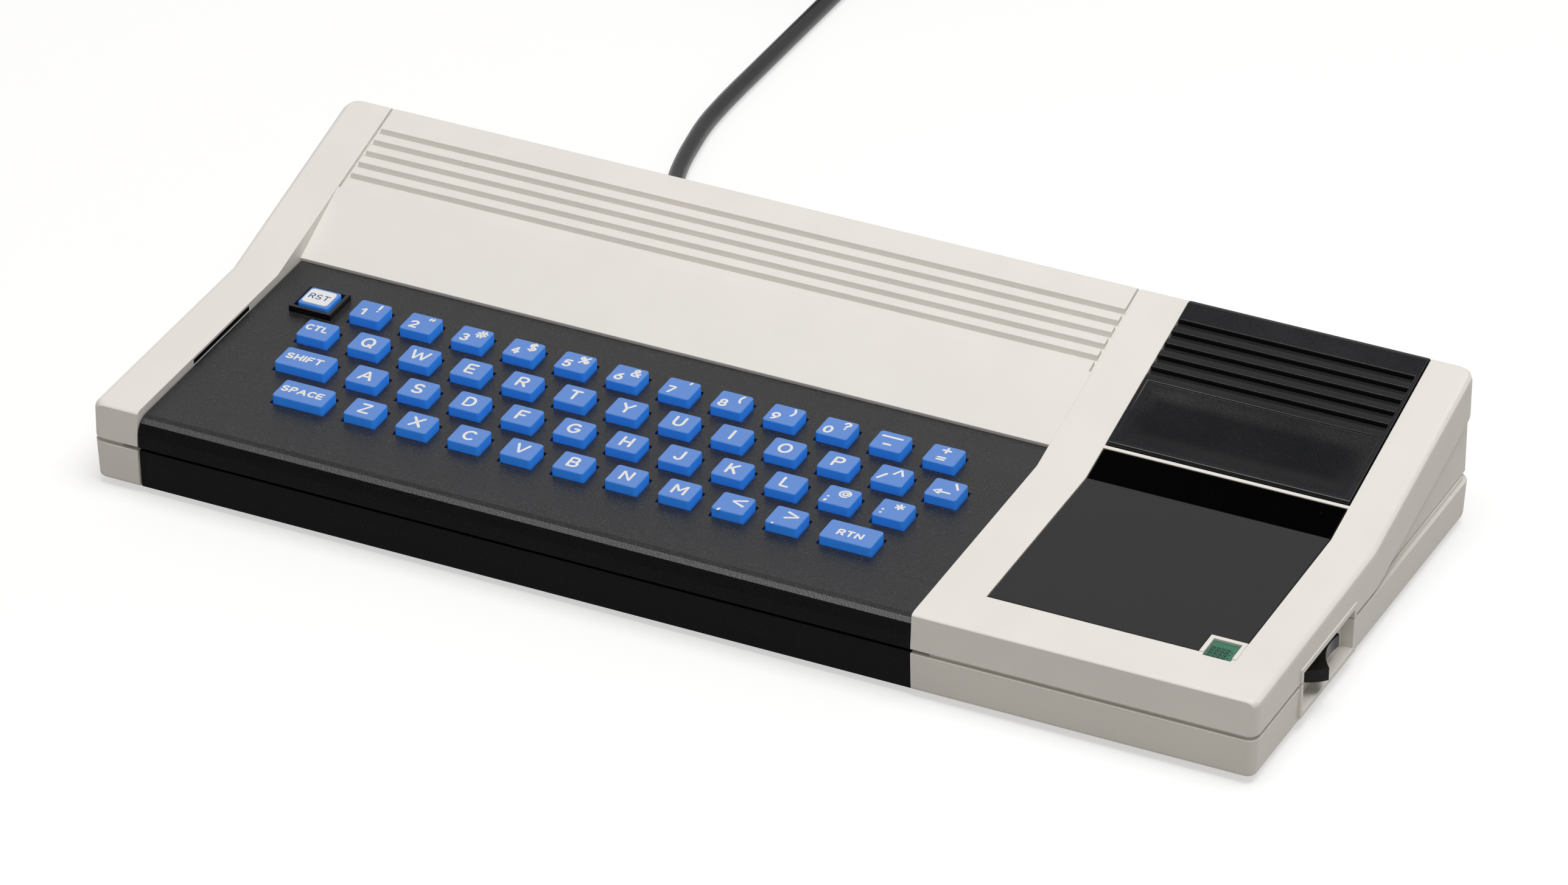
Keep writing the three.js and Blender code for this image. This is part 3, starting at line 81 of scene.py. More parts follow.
@dataclass(frozen=True)
class CaseFrame:
    """The case's own millimetre axes, from its middle, front face and underside, and heights on it."""

    half_width: float = 172.9
    foot: float = 2.0
    front_top: float = 23.8
    fold_depth: float = 80.5
    fold_top: float = 26.0
    rear_top: float = 46.0
    depth: float = 150.3
    deck_drop: float = 2.3
    rail_inner: float = -158.7
    deck_right: float = 74.1

    def origin(self) -> Vector:
        """Where the case's own origin lies in the row frame, in metres."""
        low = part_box("bottom_case")[0]
        return Vector((low.x + self.half_width * MM, low.y, low.z + self.foot * MM))

    def matrix(self) -> Matrix:
        """The change from the case's millimetres to the row frame."""
        return Matrix.Translation(self.origin()) @ Matrix.Scale(MM, 4)

    def desk_matrix(self) -> Matrix:
        """The same with heights counted from the surface that the feet stand on."""
        place = self.origin()
        return Matrix.Translation((place.x, place.y, 0)) @ Matrix.Scale(MM, 4)

    def low_slope(self) -> float:
        """Rise of the case's top per millimetre of depth, in front of the fold."""
        return (self.fold_top - self.front_top) / self.fold_depth

    def high_slope(self) -> float:
        """The same behind the fold."""
        return (self.rear_top - self.fold_top) / (self.depth - self.fold_depth)

    def rail_top(self, depth: float) -> float:
        """Height of the rails' top.

        Args:
            depth: How far behind the front face.

        Returns:
            The height above the underside.
        """
        if depth < self.fold_depth:
            return self.front_top + self.low_slope() * depth
        return self.fold_top + self.high_slope() * (depth - self.fold_depth)

    def deck_top(self, depth: float) -> float:
        """Height of the keyboard deck's top at a depth."""
        return self.front_top + self.low_slope() * depth - self.deck_drop

    def sloped(self, x: float, depth: float, height: float) -> Matrix:
        """The change from millimetres about a point, square to the low slope, to the row frame."""
        tilt = Matrix.Rotation(math.atan(self.low_slope()), 4, "X")
        return self.matrix() @ Matrix.Translation((x, depth, height)) @ tilt


CASE = CaseFrame()


@dataclass(frozen=True)
class Signal:
    """An output socket on which arithmetic adds Math nodes."""

    graph: "Graph"
    socket: bpy.types.NodeSocket

    def __add__(self, other: "Signal | float") -> "Signal":
        """Sum."""
        return self.graph.math("ADD", self, other)

    def __sub__(self, other: "Signal | float") -> "Signal":
        """Difference."""
        return self.graph.math("SUBTRACT", self, other)

    def __rsub__(self, other: float) -> "Signal":
        """Difference with the number first."""
        return self.graph.math("SUBTRACT", other, self)

    def __mul__(self, other: "Signal | float") -> "Signal":
        """Product."""
        return self.graph.math("MULTIPLY", self, other)

    __radd__, __rmul__ = __add__, __mul__

    def clamped(self) -> "Signal":
        """The value held between 0 and 1."""
        return self.graph.node("ShaderNodeClamp", {}, {"Value": self})

    def between(self, low: float, high: float) -> "Signal":
        """How far the value has come from low to high, held between 0 and 1."""
        return ((self - low) * (1 / (high - low))).clamped()


class Graph:
    """A node tree that is filled by one method for every kind of node."""

    def __init__(self, tree: bpy.types.NodeTree) -> None:
        """Empties the tree of a material or the world."""
        self.tree = tree
        tree.nodes.clear()

    def node(self, kind: str, settings: dict, inputs: dict, output: int | str = 0) -> Signal | None:
        """Adds a node, with its settings made before its sockets are filled.

        Args:
            kind: The node's type name.
            settings: Its properties.
            inputs: Values or signals by socket name or number.
            output: The socket that is returned.

        Returns:
            The chosen output, where the node has any.
        """
        node = self.tree.nodes.new(kind)
        for name, value in settings.items():
            setattr(node, name, value)
        for name, value in inputs.items():
            if isinstance(value, Signal):
                self.tree.links.new(value.socket, node.inputs[name])
            else:
                node.inputs[name].default_value = value
        return Signal(self, node.outputs[output]) if len(node.outputs) else None

    def math(self, operation: str, first: Signal | float, second: Signal | float) -> Signal:
        """One Math node."""
        return self.node("ShaderNodeMath", {"operation": operation}, {0: first, 1: second})

    def mixed(self, share: Signal, first: Signal | Colour, second: Signal | Colour) -> Signal:
        """A colour between two, by share, on a Mix node's colour sockets."""
        ends = {i: end if isinstance(end, Signal) else (*end, 1) for i, end in ((6, first), (7, second))}
        return self.node("ShaderNodeMix", {"data_type": "RGBA"}, {0: share, **ends}, 2)

    def place(self) -> Signal:
        """Object coordinates, in metres on the row's axes."""
        return self.node("ShaderNodeTexCoord", {}, {}, "Object")

    def stretched(self, scale: Place) -> Signal:
        """Object coordinates stretched along each axis."""
        return self.node("ShaderNodeMapping", {}, {"Vector": self.place(), "Scale": scale})

    def axis(self, vector: Signal, name: str) -> Signal:
        """One axis of a vector."""
        return self.node("ShaderNodeSeparateXYZ", {}, {"Vector": vector}, name)

    def mark(self, name: str) -> Signal:
        """An attribute of the mesh, from 0 to 1."""
        return self.node("ShaderNodeAttribute", {"attribute_name": name}, {}, "Fac")

    def noise(self, size_mm: float, detail: float, where: Signal | None = None) -> Signal:
        """Noise whose lumps are about size_mm across, from 0 to 1."""
        inputs = {"Vector": where or self.place(), "Scale": 1 / (size_mm * MM), "Detail": detail}
        return self.node("ShaderNodeTexNoise", {}, inputs)

    def rounded_edges(self, radius_mm: float) -> Signal:
        """Normals that run smoothly round the edges."""
        return self.node("ShaderNodeBevel", {"samples": 6}, {"Radius": radius_mm * MM})

    def bump(self, height: Signal, depth_mm: float, normal: Signal | None = None) -> Signal:
        """Normals from a height between 0 and 1 that stands for depth_mm."""
        inputs = {"Height": height, "Distance": depth_mm * MM, **({"Normal": normal} if normal else {})}
        return self.node("ShaderNodeBump", {}, inputs)


def new_material(name: str, viewport: Colour) -> tuple[bpy.types.Material, Graph]:
    """Makes an empty node material.

    Args:
        name: Its name.
        viewport: The plain colour that stands for it where nodes aren't read.

    Returns:
        The material and its graph.
    """
    material = bpy.data.materials.new(name)
    material.use_nodes = True
    material.diffuse_color = (*viewport, 1)
    return material, Graph(material.node_tree)


@dataclass(frozen=True)
class Finish:
    """A procedural finish; each kind of it says how its surface is made."""

    name: str
    colour: Colour

    def surface(self, graph: Graph) -> dict:
        """The inputs of its shader."""
        raise NotImplementedError

    def material(self) -> bpy.types.Material:
        """Its node material, which all its pieces share.

        Returns:
            The material, built at the first call.
        """
        material = bpy.data.materials.get(self.name)
        if not material:
            material, graph = new_material(self.name, self.colour)
            shader = graph.node("ShaderNodeBsdfPrincipled", {}, self.surface(graph))
            graph.node("ShaderNodeOutputMaterial", {}, {"Surface": shader})
        return material


@dataclass(frozen=True)
class MouldedPlastic(Finish):
    """Plastic with a fine mould grain and a faint mottling; marked hollows get painted shade, darker and less
    rough.
    """

    roughness: float
    grain_mm: float
    grain_depth_mm: float
    mottle: float = 0.05
    fleck: float = 0.0
    fleck_colour: Colour = (0.2, 0.2, 0.2)
    specular: float = 0.5
    painted_hollow_shade: float = 0.0
    painted_hollow_shade_colour: Colour = (0.004, 0.004, 0.0045)
    hollow_smoothness: float = 0.17
    mottle_mm: float = 18
    edge_mm: float = 0.25

    def surface(self, graph: Graph) -> dict:
        """The inputs of its shader.

        Args:
            graph: The material's node tree.

        Returns:
            Values and signals by socket.
        """
        broad, grain = graph.noise(self.mottle_mm, 3), graph.noise(self.grain_mm, 3)
        shade = tuple(part * (1 - self.mottle) for part in self.colour)
        colour = graph.mixed(broad.between(0.35, 0.65), shade, self.colour)
        if self.fleck:
            flecks = graph.noise(self.grain_mm * 0.8, 1).between(0.56, 0.74)
            colour = graph.mixed(flecks * self.fleck, colour, self.fleck_colour)
        roughness = self.roughness + (grain - 0.5) * 0.25 + (broad - 0.5) * 0.1
        # painted shade: the marked hollow is mixed towards a darker colour, and its roughness is lowered there
        # too
        if self.painted_hollow_shade:
            painted_hollow_shade = graph.mark("painted_hollow_shade") * self.painted_hollow_shade
            colour = graph.mixed(painted_hollow_shade, colour, self.painted_hollow_shade_colour)
            roughness = roughness - painted_hollow_shade * self.hollow_smoothness
        normal = graph.bump(grain, self.grain_depth_mm, graph.rounded_edges(self.edge_mm))
        inputs = {"Base Color": colour, "Roughness": roughness, "Specular IOR Level": self.specular}
        return {**inputs, "Normal": normal}


@dataclass(frozen=True)
class KeyRubber(Finish):
    """Matt rubber with painted light: its top is painted paler than its sides as a painted highlight, and its
    sides glow faintly blue as a painted glow.
    """

    side: Colour
    painted_glow: Colour
    roughness: float = 0.62
    specular: float = 0.25

    def surface(self, graph: Graph) -> dict:
        """The inputs of its shader, which read the attribute that marks the top for the painted highlight.

        Args:
            graph: The material's node tree.

        Returns:
            Values and signals by socket.
        """
        grain, blotch = graph.noise(0.25, 3), graph.noise(1.2, 2)
        # painted highlight: the marked top takes the paler colour, the sides the deeper one
        share = (graph.mark("pale") + (blotch - 0.5) * 0.12).clamped()
        colour = graph.mixed(share, self.side, self.colour)
        roughness = self.roughness + (grain - 0.5) * 0.3
        inputs = {"Base Color": colour, "Roughness": roughness, "Specular IOR Level": self.specular}
        # painted glow: the sides emit a faint blue light, the top none
        painted_glow, normal = graph.mixed(share, self.painted_glow, (0.0, 0.0, 0.0)), graph.bump(grain, 0.014)
        return {**inputs, "Emission Color": painted_glow, "Emission Strength": 1.0, "Normal": normal}


@dataclass(frozen=True)
class Print(Finish):
    """Printed ink, slightly uneven."""

    roughness: float = 0.5

    def surface(self, graph: Graph) -> dict:
        """The inputs of its shader.

        Args:
            graph: The material's node tree.

        Returns:
            Values and signals by socket.
        """
        cloud = graph.noise(0.6, 2)
        colour = graph.mixed(cloud.between(0.3, 0.7), tuple(part * 0.9 for part in self.colour), self.colour)
        return {"Base Color": colour, "Roughness": self.roughness, "Normal": graph.bump(cloud, 0.01)}


@dataclass(frozen=True)
class PolishedPlastic(Finish):
    """Polished plastic with faint haze and fine dust."""

    roughness: float = 0.06
    dust: float = 0.04

    def surface(self, graph: Graph) -> dict:
        """The inputs of its shader.

        Args:
            graph: The material's node tree.

        Returns:
            Values and signals by socket.
        """
        haze = graph.noise(9, 3).between(0.4, 0.75)
        dust = graph.noise(0.5, 0).between(0.82, 0.86) * self.dust
        colour = graph.mixed(dust, self.colour, (0.2, 0.2, 0.2))
        normal = graph.bump(graph.noise(30, 1), 0.02, graph.rounded_edges(0.3))
        return {"Base Color": colour, "Roughness": self.roughness + haze * 0.03 + dust, "Normal": normal}


@dataclass(frozen=True)
class BareMetal(Finish):
    """Plated sheet metal with fine brushing."""

    roughness: float = 0.28

    def surface(self, graph: Graph) -> dict:
        """The inputs of its shader.

        Args:
            graph: The material's node tree.

        Returns:
            Values and signals by socket.
        """
        brushed = graph.noise(0.2, 2, graph.stretched((1, 12, 12)))
        roughness = self.roughness + (brushed - 0.5) * 0.25
        inputs = {"Base Color": (*self.colour, 1), "Metallic": 1.0, "Roughness": roughness}
        return {**inputs, "Normal": graph.bump(brushed, 0.004)}


@dataclass(frozen=True)
class LacqueredBoard(Finish):
    """Lacquer over fine tracks below a height, and dark mouldings above it."""

    top_mm: float
    lacquer: Colour = (0.012, 0.09, 0.035)
    track: Colour = (0.03, 0.17, 0.06)
    moulding: Colour = (0.022, 0.022, 0.024)

    def surface(self, graph: Graph) -> dict:
        """The inputs of its shader.

        Args:
            graph: The material's node tree.

        Returns:
            Values and signals by socket.
        """
        above = graph.axis(graph.place(), "Z").between(self.top_mm * MM, (self.top_mm + 0.05) * MM)
        tracks = graph.noise(3, 1, graph.stretched((1, 6, 1))).between(0.5, 0.54)
        colour = graph.mixed(above, graph.mixed(tracks, self.lacquer, self.track), self.moulding)
        return {"Base Color": colour, "Roughness": 0.35 + above * 0.2, "Normal": graph.bump(tracks, 0.03)}


WARM_WHITE = MouldedPlastic("warm_white_case", (0.765, 0.735, 0.695), 0.52, 0.4, 0.006, 0.025)
GRAINED_BLACK = MouldedPlastic(
    "spark_grained_black", (0.013, 0.013, 0.0145), 0.33, 0.42, 0.075, 0.12, 0.8, (0.07, 0.07, 0.077)
)
# Darker, duller black of the front trim; on the deck's front faces it is a painted shade.
BAND_BLACK = MouldedPlastic(
    "front_band_black", (0.0065, 0.0065, 0.0075), 0.5, 0.42, 0.05, 0.12, 0.4, (0.03, 0.03, 0.032), 0.05
)
# The cover's satin black, with painted shade that darkens the middle of its finger scoop.
SATIN_BLACK = MouldedPlastic(
    "satin_black", (0.007, 0.0075, 0.009), 0.29, 0.3, 0.008, 0.08, 0.3, (0.026, 0.026, 0.028), painted_hollow_shade=0.35
)
# Near-black painted shade for the slots beside the deck and the cover's grooves.
SHADED_BLACK = MouldedPlastic("shaded_black", (0.006, 0.006, 0.0065), 0.5, 0.3, 0.008, specular=0.15)
FOOT_RUBBER = MouldedPlastic("foot_rubber", (0.02, 0.02, 0.021), 0.7, 0.5, 0.01)
GUARD_BLACK = PolishedPlastic("guard_black", (0.006, 0.006, 0.0065), 0.14)
WINDOW_GREEN = PolishedPlastic("window_green", (0.03, 0.165, 0.095), 0.12)
WINDOW_MARKS = Print("window_marks", (0.008, 0.02, 0.014))
ROCKER_BLACK = MouldedPlastic(
    "rocker_black", (0.004, 0.004, 0.004), 0.18, 0.5, 0.003, 0.05, 0.25, (0.05, 0.047, 0.044), 0.15
)
GLOSS_BLACK = PolishedPlastic("polished_black", (0.0006, 0.0006, 0.0007))
# Key rubber: the top colour is painted paler than the side colour as a painted highlight; the last colour is a
# painted glow on the sides.
BLUE_RUBBER = KeyRubber("blue_rubber", (0.125, 0.255, 0.62), (0.05, 0.38, 1.0), (0.001, 0.015, 0.16))
WHITE_INK = Print("white_ink", (0.8, 0.79, 0.76))
BLUE_INK = Print("blue_ink", (0.02, 0.07, 0.3))
RESET_WHITE = MouldedPlastic("reset_white", (0.78, 0.78, 0.77), 0.25, 0.4, 0.003, 0.02)
LEAD_BLACK = MouldedPlastic("lead_black", (0.024, 0.024, 0.025), 0.3, 0.6, 0.006, 0.1)
ADAPTER_BLACK = MouldedPlastic("adapter_black", (0.02, 0.02, 0.022), 0.5, 0.5, 0.02, 0.08)
PLATED_METAL = BareMetal("blade_metal", (0.62, 0.6, 0.55))
BOARD_GREEN = LacqueredBoard("lacquered_board", (0.02, 0.12, 0.05), 9.7)


def put(name: str, data: bpy.types.ID) -> bpy.types.Object:
    """Adds an object to the scene.

    Args:
        name: Its name.
        data: Its mesh, curve, camera or light.

    Returns:
        The object.
    """
    thing = bpy.data.objects.new(name, data)
    bpy.context.scene.collection.objects.link(thing)
    return thing


class Shape:
    """A mesh being shaped with bmesh operators."""

    def __init__(self) -> None:
        """Starts empty."""
        self.mesh = bmesh.new()
        self.more: list[bpy.types.Material] = []

    @classmethod
    def of_node(cls, name: str) -> "Shape":
        """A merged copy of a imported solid, already in the row frame.

        Args:
            name: The solid's node.

        Returns:
            The copy, with its flat faces made whole.
        """
        shape = cls()
        mesh = shape.mesh
        mesh.from_mesh(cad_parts[name].data)
        bmesh.ops.remove_doubles(mesh, verts=mesh.verts, dist=1e-6)
        bmesh.ops.dissolve_limit(mesh, angle_limit=math.radians(0.5), verts=mesh.verts, edges=mesh.edges)
        return shape

    @classmethod
    def block(cls, low: Place, high: Place, rounding: float = 0, steps: int = 3) -> "Shape":
        """A block between two corners, with all its edges rounded.

        Args:
            low: Its lowest corner.
            high: Its highest corner.
            rounding: The radius on every edge.
            steps: Faces round each edge.

        Returns:
            The block.
        """
        shape = cls()
        size = [b - a for a, b in zip(low, high)]
        middle = [(a + b) / 2 for a, b in zip(low, high)]
        where = Matrix.Translation(middle) @ Matrix.Diagonal((*size, 1))
        bmesh.ops.create_cube(shape.mesh, size=1, matrix=where)
        if rounding:
            shape.bevel(list(shape.mesh.edges), rounding, steps)
        return shape

    @classmethod
    def tablet(cls, low: Place, high: Place, corner: float, rounding: float, steps: int) -> "Shape":
        """A block with rounded upright corners, and then a rounded edge round its top.

        Args:
            low: Its lowest corner.
            high: Its highest corner.
            corner: The radius of the upright corners.
            rounding: The radius round the top.
            steps: Faces round the top's edge.

        Returns:
            The tablet.
        """
        shape = cls.block(low, high)
        edges = shape.mesh.edges
        shape.bevel([e for e in edges if abs(e.verts[0].co.z - e.verts[1].co.z) > 0.1], corner, 5)
        shape.bevel([e for e in edges if all(v.co.z > high[2] - 1e-4 for v in e.verts)], rounding, steps)
        return shape

    @classmethod
    def cone(cls, start: Vector, end: Vector, radii: tuple[float, float], sides: int) -> "Shape":
        """A closed rod or cone between two points.

        Args:
            start: The middle of its first end.
            end: The middle of its last end.
            radii: The radius at each end.
            sides: Faces round it.

        Returns:
            The rod.
        """
        shape = cls()
        along = end - start
        where = Matrix.Translation((start + end) / 2) @ along.to_track_quat("Z", "Y").to_matrix().to_4x4()
        bmesh.ops.create_cone(
            shape.mesh, cap_ends=True, segments=sides, radius1=radii[0], radius2=radii[1],
            depth=along.length, matrix=where,
        )
        return shape

    @classmethod
    def ring(cls, start: Vector, radii: tuple[float, float], length: float, steps: int = 32) -> "Shape":
        """A square-edged ring round a line that runs to the rear.

        Args:
            start: The middle of its front end.
            radii: Its inner and its outer radius.
            length: How far it runs to the rear.
            steps: Faces round it.

        Returns:
            The ring.
        """
        shape = cls()
        mesh = shape.mesh
        corners = [(radii[0], 0), (radii[1], 0), (radii[1], length), (radii[0], length)]
        verts = [mesh.verts.new(start + Vector((radius, along, 0))) for radius, along in corners]
        edges = [mesh.edges.new(pair) for pair in zip(verts, verts[1:] + verts[:1])]
        bmesh.ops.spin(
            mesh, geom=verts + edges, cent=start, axis=(0, 1, 0), angle=2 * math.pi, steps=steps, use_merge=True
        )
        bmesh.ops.recalc_face_normals(mesh, faces=mesh.faces)
        return shape

    def bevel(self, edges: list, offset: float, steps: int) -> None:
        """Rounds edges.

        Args:
            edges: The edges.
            offset: The radius.
            steps: Faces round each edge.
        """
        bmesh.ops.bevel(
            self.mesh, geom=edges, offset=offset, offset_type="OFFSET", segments=steps, profile=0.5,
            affect="EDGES", material=-1, clamp_overlap=True,
        )

    def add(self, other: "Shape") -> "Shape":
        """Joins another shape's mesh to this one.

        Args:
            other: The shape that is joined.

        Returns:
            This shape.
        """
        scratch = bpy.data.meshes.new("scratch")
        other.mesh.to_mesh(scratch)
        self.mesh.from_mesh(scratch)
        bpy.data.meshes.remove(scratch)
        return self

    def moved(self, matrix: Matrix) -> "Shape":
        """Applies a transform and returns the shape."""
        bmesh.ops.transform(self.mesh, matrix=matrix, verts=self.mesh.verts)
        return self

    def paint(self, look: Finish, test: Callable[[Vector, Vector], bool]) -> "Shape":
        """Gives some faces another finish.

        Args:
            look: That finish.
            test: Picks faces by their middle, in the case's millimetres, and their normal.

        Returns:
            The shape.
        """
        back = CASE.matrix().inverted()
        self.more.append(look.material())
        for face in self.mesh.faces:
            if test(back @ face.calc_center_median(), face.normal):
                face.material_index = len(self.more)
        return self

    def soften(self, radius: float, steps: int = 2, sharpest: float = 30.0) -> "Shape":
        """Rounds the sharp outer edges.

        Args:
            radius: The radius, in metres.
            steps: Faces round each edge.
            sharpest: The angle in degrees past which an edge is rounded.

        Returns:
            The shape.
        """
        paired = [edge for edge in self.mesh.edges if len(edge.link_faces) == 2]
        sharp = [edge for edge in paired if math.degrees(edge.calc_face_angle_signed(0)) > sharpest]
        self.bevel(sharp, radius, steps)
        return self

    def smooth(self, strip_mm: float = 1.7, steepest: float = 42.0) -> "Shape":
        """Shades narrow fillet faces smoothly and keeps other edges crisp, in the row frame.

        Args:
            strip_mm: Faces narrower than this belong to a fillet.
            steepest: The largest angle across an edge that is smoothed, in degrees.

        Returns:
            The shape.
        """
        narrow = {}
        for face in self.mesh.faces:
            face.smooth = True
            narrow[face] = face.calc_area() / max(face.calc_perimeter() / 2, 1e-9) < strip_mm * MM
        for edge in self.mesh.edges:
            if len(edge.link_faces) == 2:
                angle = math.degrees(edge.calc_face_angle(0))
                fillet = angle < steepest and any(narrow[face] for face in edge.link_faces)
                edge.smooth = fillet or angle < 1
        return self

    def finish(
        self, name: str, look: Finish, slot: Slot | None, *replaced: str, body: str = Body.COMPUTER.value
    ) -> bpy.types.Object:
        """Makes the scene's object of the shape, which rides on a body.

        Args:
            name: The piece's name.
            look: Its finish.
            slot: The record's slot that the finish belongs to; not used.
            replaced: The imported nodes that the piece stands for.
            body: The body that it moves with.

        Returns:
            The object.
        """
        data = bpy.data.meshes.new(name)
        self.mesh.to_mesh(data)
        self.mesh.free()
        for material in (look.material(), *self.more):
            data.materials.append(material)
        piece = put(name, data)
        weights = piece.modifiers.new("weighted", "WEIGHTED_NORMAL")
        weights.keep_sharp = True
        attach(piece, body)
        if replaced:
            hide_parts(*replaced)
        return piece


@dataclass
class CameraStand:
    """The camera at the photograph's viewing angle."""

    azimuth: float = 25.5605
    elevation: float = 30.9479
    roll: float = 0.3785
    focal_px: float = 14063.53
    frame_px: int = 2576
    sensor_mm: float = 36.0
    clip_end: float = 50
    place_mm: Place = (864.9495, -1731.07, 1217.267)

    def build(self) -> None:
        """Makes the scene's camera."""
        lens = bpy.data.cameras.new("photo_camera")
        lens.sensor_width = self.sensor_mm
        lens.lens = self.focal_px / self.frame_px * self.sensor_mm
        lens.clip_end = self.clip_end
        camera = put("photo_camera", lens)
        place = Matrix.Translation(CASE.matrix() @ Vector(self.place_mm))
        for angle, axis in ((self.azimuth, "Z"), (90 - self.elevation, "X"), (self.roll, "Z")):
            place = place @ Matrix.Rotation(math.radians(angle), 4, axis)
        camera.matrix_world = place
        bpy.context.scene.camera = camera


@dataclass
class PowerLead:
    """The captive lead, its strain relief, the coil of its spare length, and its plug-in transformer."""

    diameter: float = 5.3
    length_m: float = 1.821
    route: tuple = (
        (-91.1, 150.3, 9.6), (-91.1, 158, 9.6), (-91.1, 167, 9.6), (-91.1, 176, 9.5), (-91.6, 184, 8.6),
        (-93, 192, 7.1), (-95.4, 200, 5.2), (-98.5, 208, 3.7), (-101.3, 214.5, 2.9), (-103.9, 221, 2.7),
        (-106.4, 230.1, 2.7), (-108.4, 240.2, 2.7), (-110.4, 252.9, 2.7), (-111.1, 263, 2.7),
        (-111.4, 275, 2.7), (-111.4, 290, 2.7), (-111.4, 306, 2.7), (-111.4, 322, 2.7), (-111.4, 340, 2.7),
        (-111.4, 358, 2.7),
    )
    coil_entry: tuple[float, float] = (-111.4, 378)
    turns: int = 9
    layers: int = 4
    middle_diameter: float = 56
    turn_gap: float = 0.45
    floor_gap: float = 0.05
    steps_per_turn: int = 24
    seat: float = 0.3
    relief_radii: tuple[float, float] = (4.2, 3.2)
    relief_length: float = 27.7
    relief_ribs: int = 7
    relief_groove: float = 0.55
    rib_rounding: float = 0.25
    rib_overlap: float = 0.02
    rib_taper: float = 0.05
    plug_relief: float = 28
    plug_relief_radii: tuple[float, float] = (4.4, 3.3)
    plug_size: Place = (46, 64, 42)
    plug_rounding: float = 3
    plug_seam: float = 0.5
    core_inset: float = 1.2
    core_side: float = 4
    blade: Place = (16, 1.5, 6.4)
    blade_pitch: float = 12.7
    blade_rounding: float = 0.5

    def coil_point(self, turn: float) -> Vector:
        """A point of the coil's centreline, on the desk's axes.

        Args:
            turn: How many turns have been wound.

        Returns:
            The point, in the case's millimetres above the desk.
        """
        per_layer = self.turns / self.layers
        pitch = self.diameter + self.turn_gap
        outer = (self.middle_diameter + per_layer * pitch) / 2
        phase = (turn / per_layer) % 2
        radius = outer - min(phase, 2 - phase) * per_layer * pitch
        climbs = (min(max((turn - (i + 1) * per_layer) * 2 + 0.5, 0), 1) for i in range(self.layers - 1))
        x, depth = self.coil_entry
        angle = 2 * math.pi * turn
        across = x - outer + radius * math.cos(angle)
        along = depth + self.seat + self.diameter + radius * math.sin(angle)
        return Vector((across, along, self.diameter / 2 + self.floor_gap + sum(climbs) * pitch))

    def line(self) -> list[Vector]:
        """The lead's whole centreline, from the rear wall to the transformer.

        Returns:
            Its points, in the case's millimetres above the desk.
        """
        steps = range(self.turns * self.steps_per_turn + 1)
        coil = [self.coil_point(i / self.steps_per_turn) for i in steps]
        tail = Vector((0, self.diameter, 0))
        return [*(Vector(point) for point in self.route), coil[0] - tail, *coil, coil[-1] + tail]

    def lead(self, line: list[Vector]) -> bpy.types.Object:
        """The sheath: a tube along the centreline.

        Args:
            line: The centreline, in millimetres on the desk's axes.

        Returns:
            The tube.
        """
        data = bpy.data.curves.new("power_lead", "CURVE")
        data.dimensions = "3D"
        data.bevel_depth = self.diameter / 2 * MM
        data.bevel_resolution = 3
        data.resolution_u = 3
        data.use_fill_caps = True
        spline = data.splines.new("BEZIER")
        spline.bezier_points.add(len(line) - 1)
        for knot, point in zip(spline.bezier_points, line):
            knot.co = CASE.desk_matrix() @ point
            knot.handle_left_type = knot.handle_right_type = "AUTO"
        data.materials.append(LEAD_BLACK.material())
        piece = put("power_lead", data)
        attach(piece, Body.COMPUTER.value)
        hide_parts("cord_run", "cord_coil")
        return piece

    def relief(self, name: str, start: Vector, length: float, radii: tuple[float, float]) -> bpy.types.Object:
        """A tapered strain relief with ribs round it.

        Args:
            name: The piece's name.
            start: The middle of its thick end.
            length: How far it runs; below 0 towards the front.
            radii: Its radius at the thick and at the thin end.

        Returns:
            The piece.
        """
        rib = abs(length) / (2 * self.relief_ribs)
        way = math.copysign(1, length)
        shape = Shape()
        for i in range(2 * self.relief_ribs):
            sunk = i % 2 * self.relief_groove
            radius = radii[0] + (radii[1] - radii[0]) * i * rib / abs(length) - sunk
            reach = i * rib - self.rib_overlap, (i + 1) * rib + self.rib_overlap
            near, far = (start + Vector((0, way * at, 0)) for at in reach)
            ring = Shape.cone(near, far, (radius, radius - rib * self.rib_taper), 28)
            if not sunk:
                ring.bevel([e for e in ring.mesh.edges if len(e.link_faces) == 2], self.rib_rounding, 2)
            shape.add(ring)
        return shape.moved(CASE.desk_matrix()).smooth(0.9).finish(name, LEAD_BLACK, Slot.LEAD)

    def transformer(self, end: Vector) -> Pieces:
        """The plug-in transformer that lies at the lead's end.

        Args:
            end: The end of the lead's centreline.

        Returns:
            Its body, its blades and its strain relief.
        """
        width, length, height = self.plug_size
        front = end.y + self.seat + self.plug_relief
        low, high = (end.x - width / 2, front, 0), (end.x + width / 2, front + length, height)
        body = Shape.block(low, (end.x - self.plug_seam, high[1], height), self.plug_rounding, 4)
        body.add(Shape.block((end.x + self.plug_seam, front, 0), high, self.plug_rounding, 4))
        inset = (self.core_side, self.core_inset, self.core_inset)
        core_low, core_high = (
            tuple(at + way * by for at, by in zip(corner, inset)) for corner, way in ((low, 1), (high, -1))
        )
        body.add(Shape.block(core_low, core_high, 2, 2))
        blades = Shape()
        reach, thickness, tall = self.blade
        for side in (-1, 1):
            y = front + length / 2 + side * self.blade_pitch / 2
            near = (high[0] - 2, y - thickness / 2, (height - tall) / 2)
            far = (high[0] + reach, y + thickness / 2, (height + tall) / 2)
            blades.add(Shape.block(near, far, self.blade_rounding))
        where = CASE.desk_matrix()
        root = Vector((end.x, front + 1, end.z))
        body.moved(where).smooth(1.4)
        return [
            body.finish("transformer_body", ADAPTER_BLACK, Slot.ADAPTER, "power_adapter"),
            blades.moved(where).smooth(0.6).finish("transformer_blades", PLATED_METAL, None),
            self.relief("transformer_relief", root, -self.plug_relief - 1, self.plug_relief_radii),
        ]

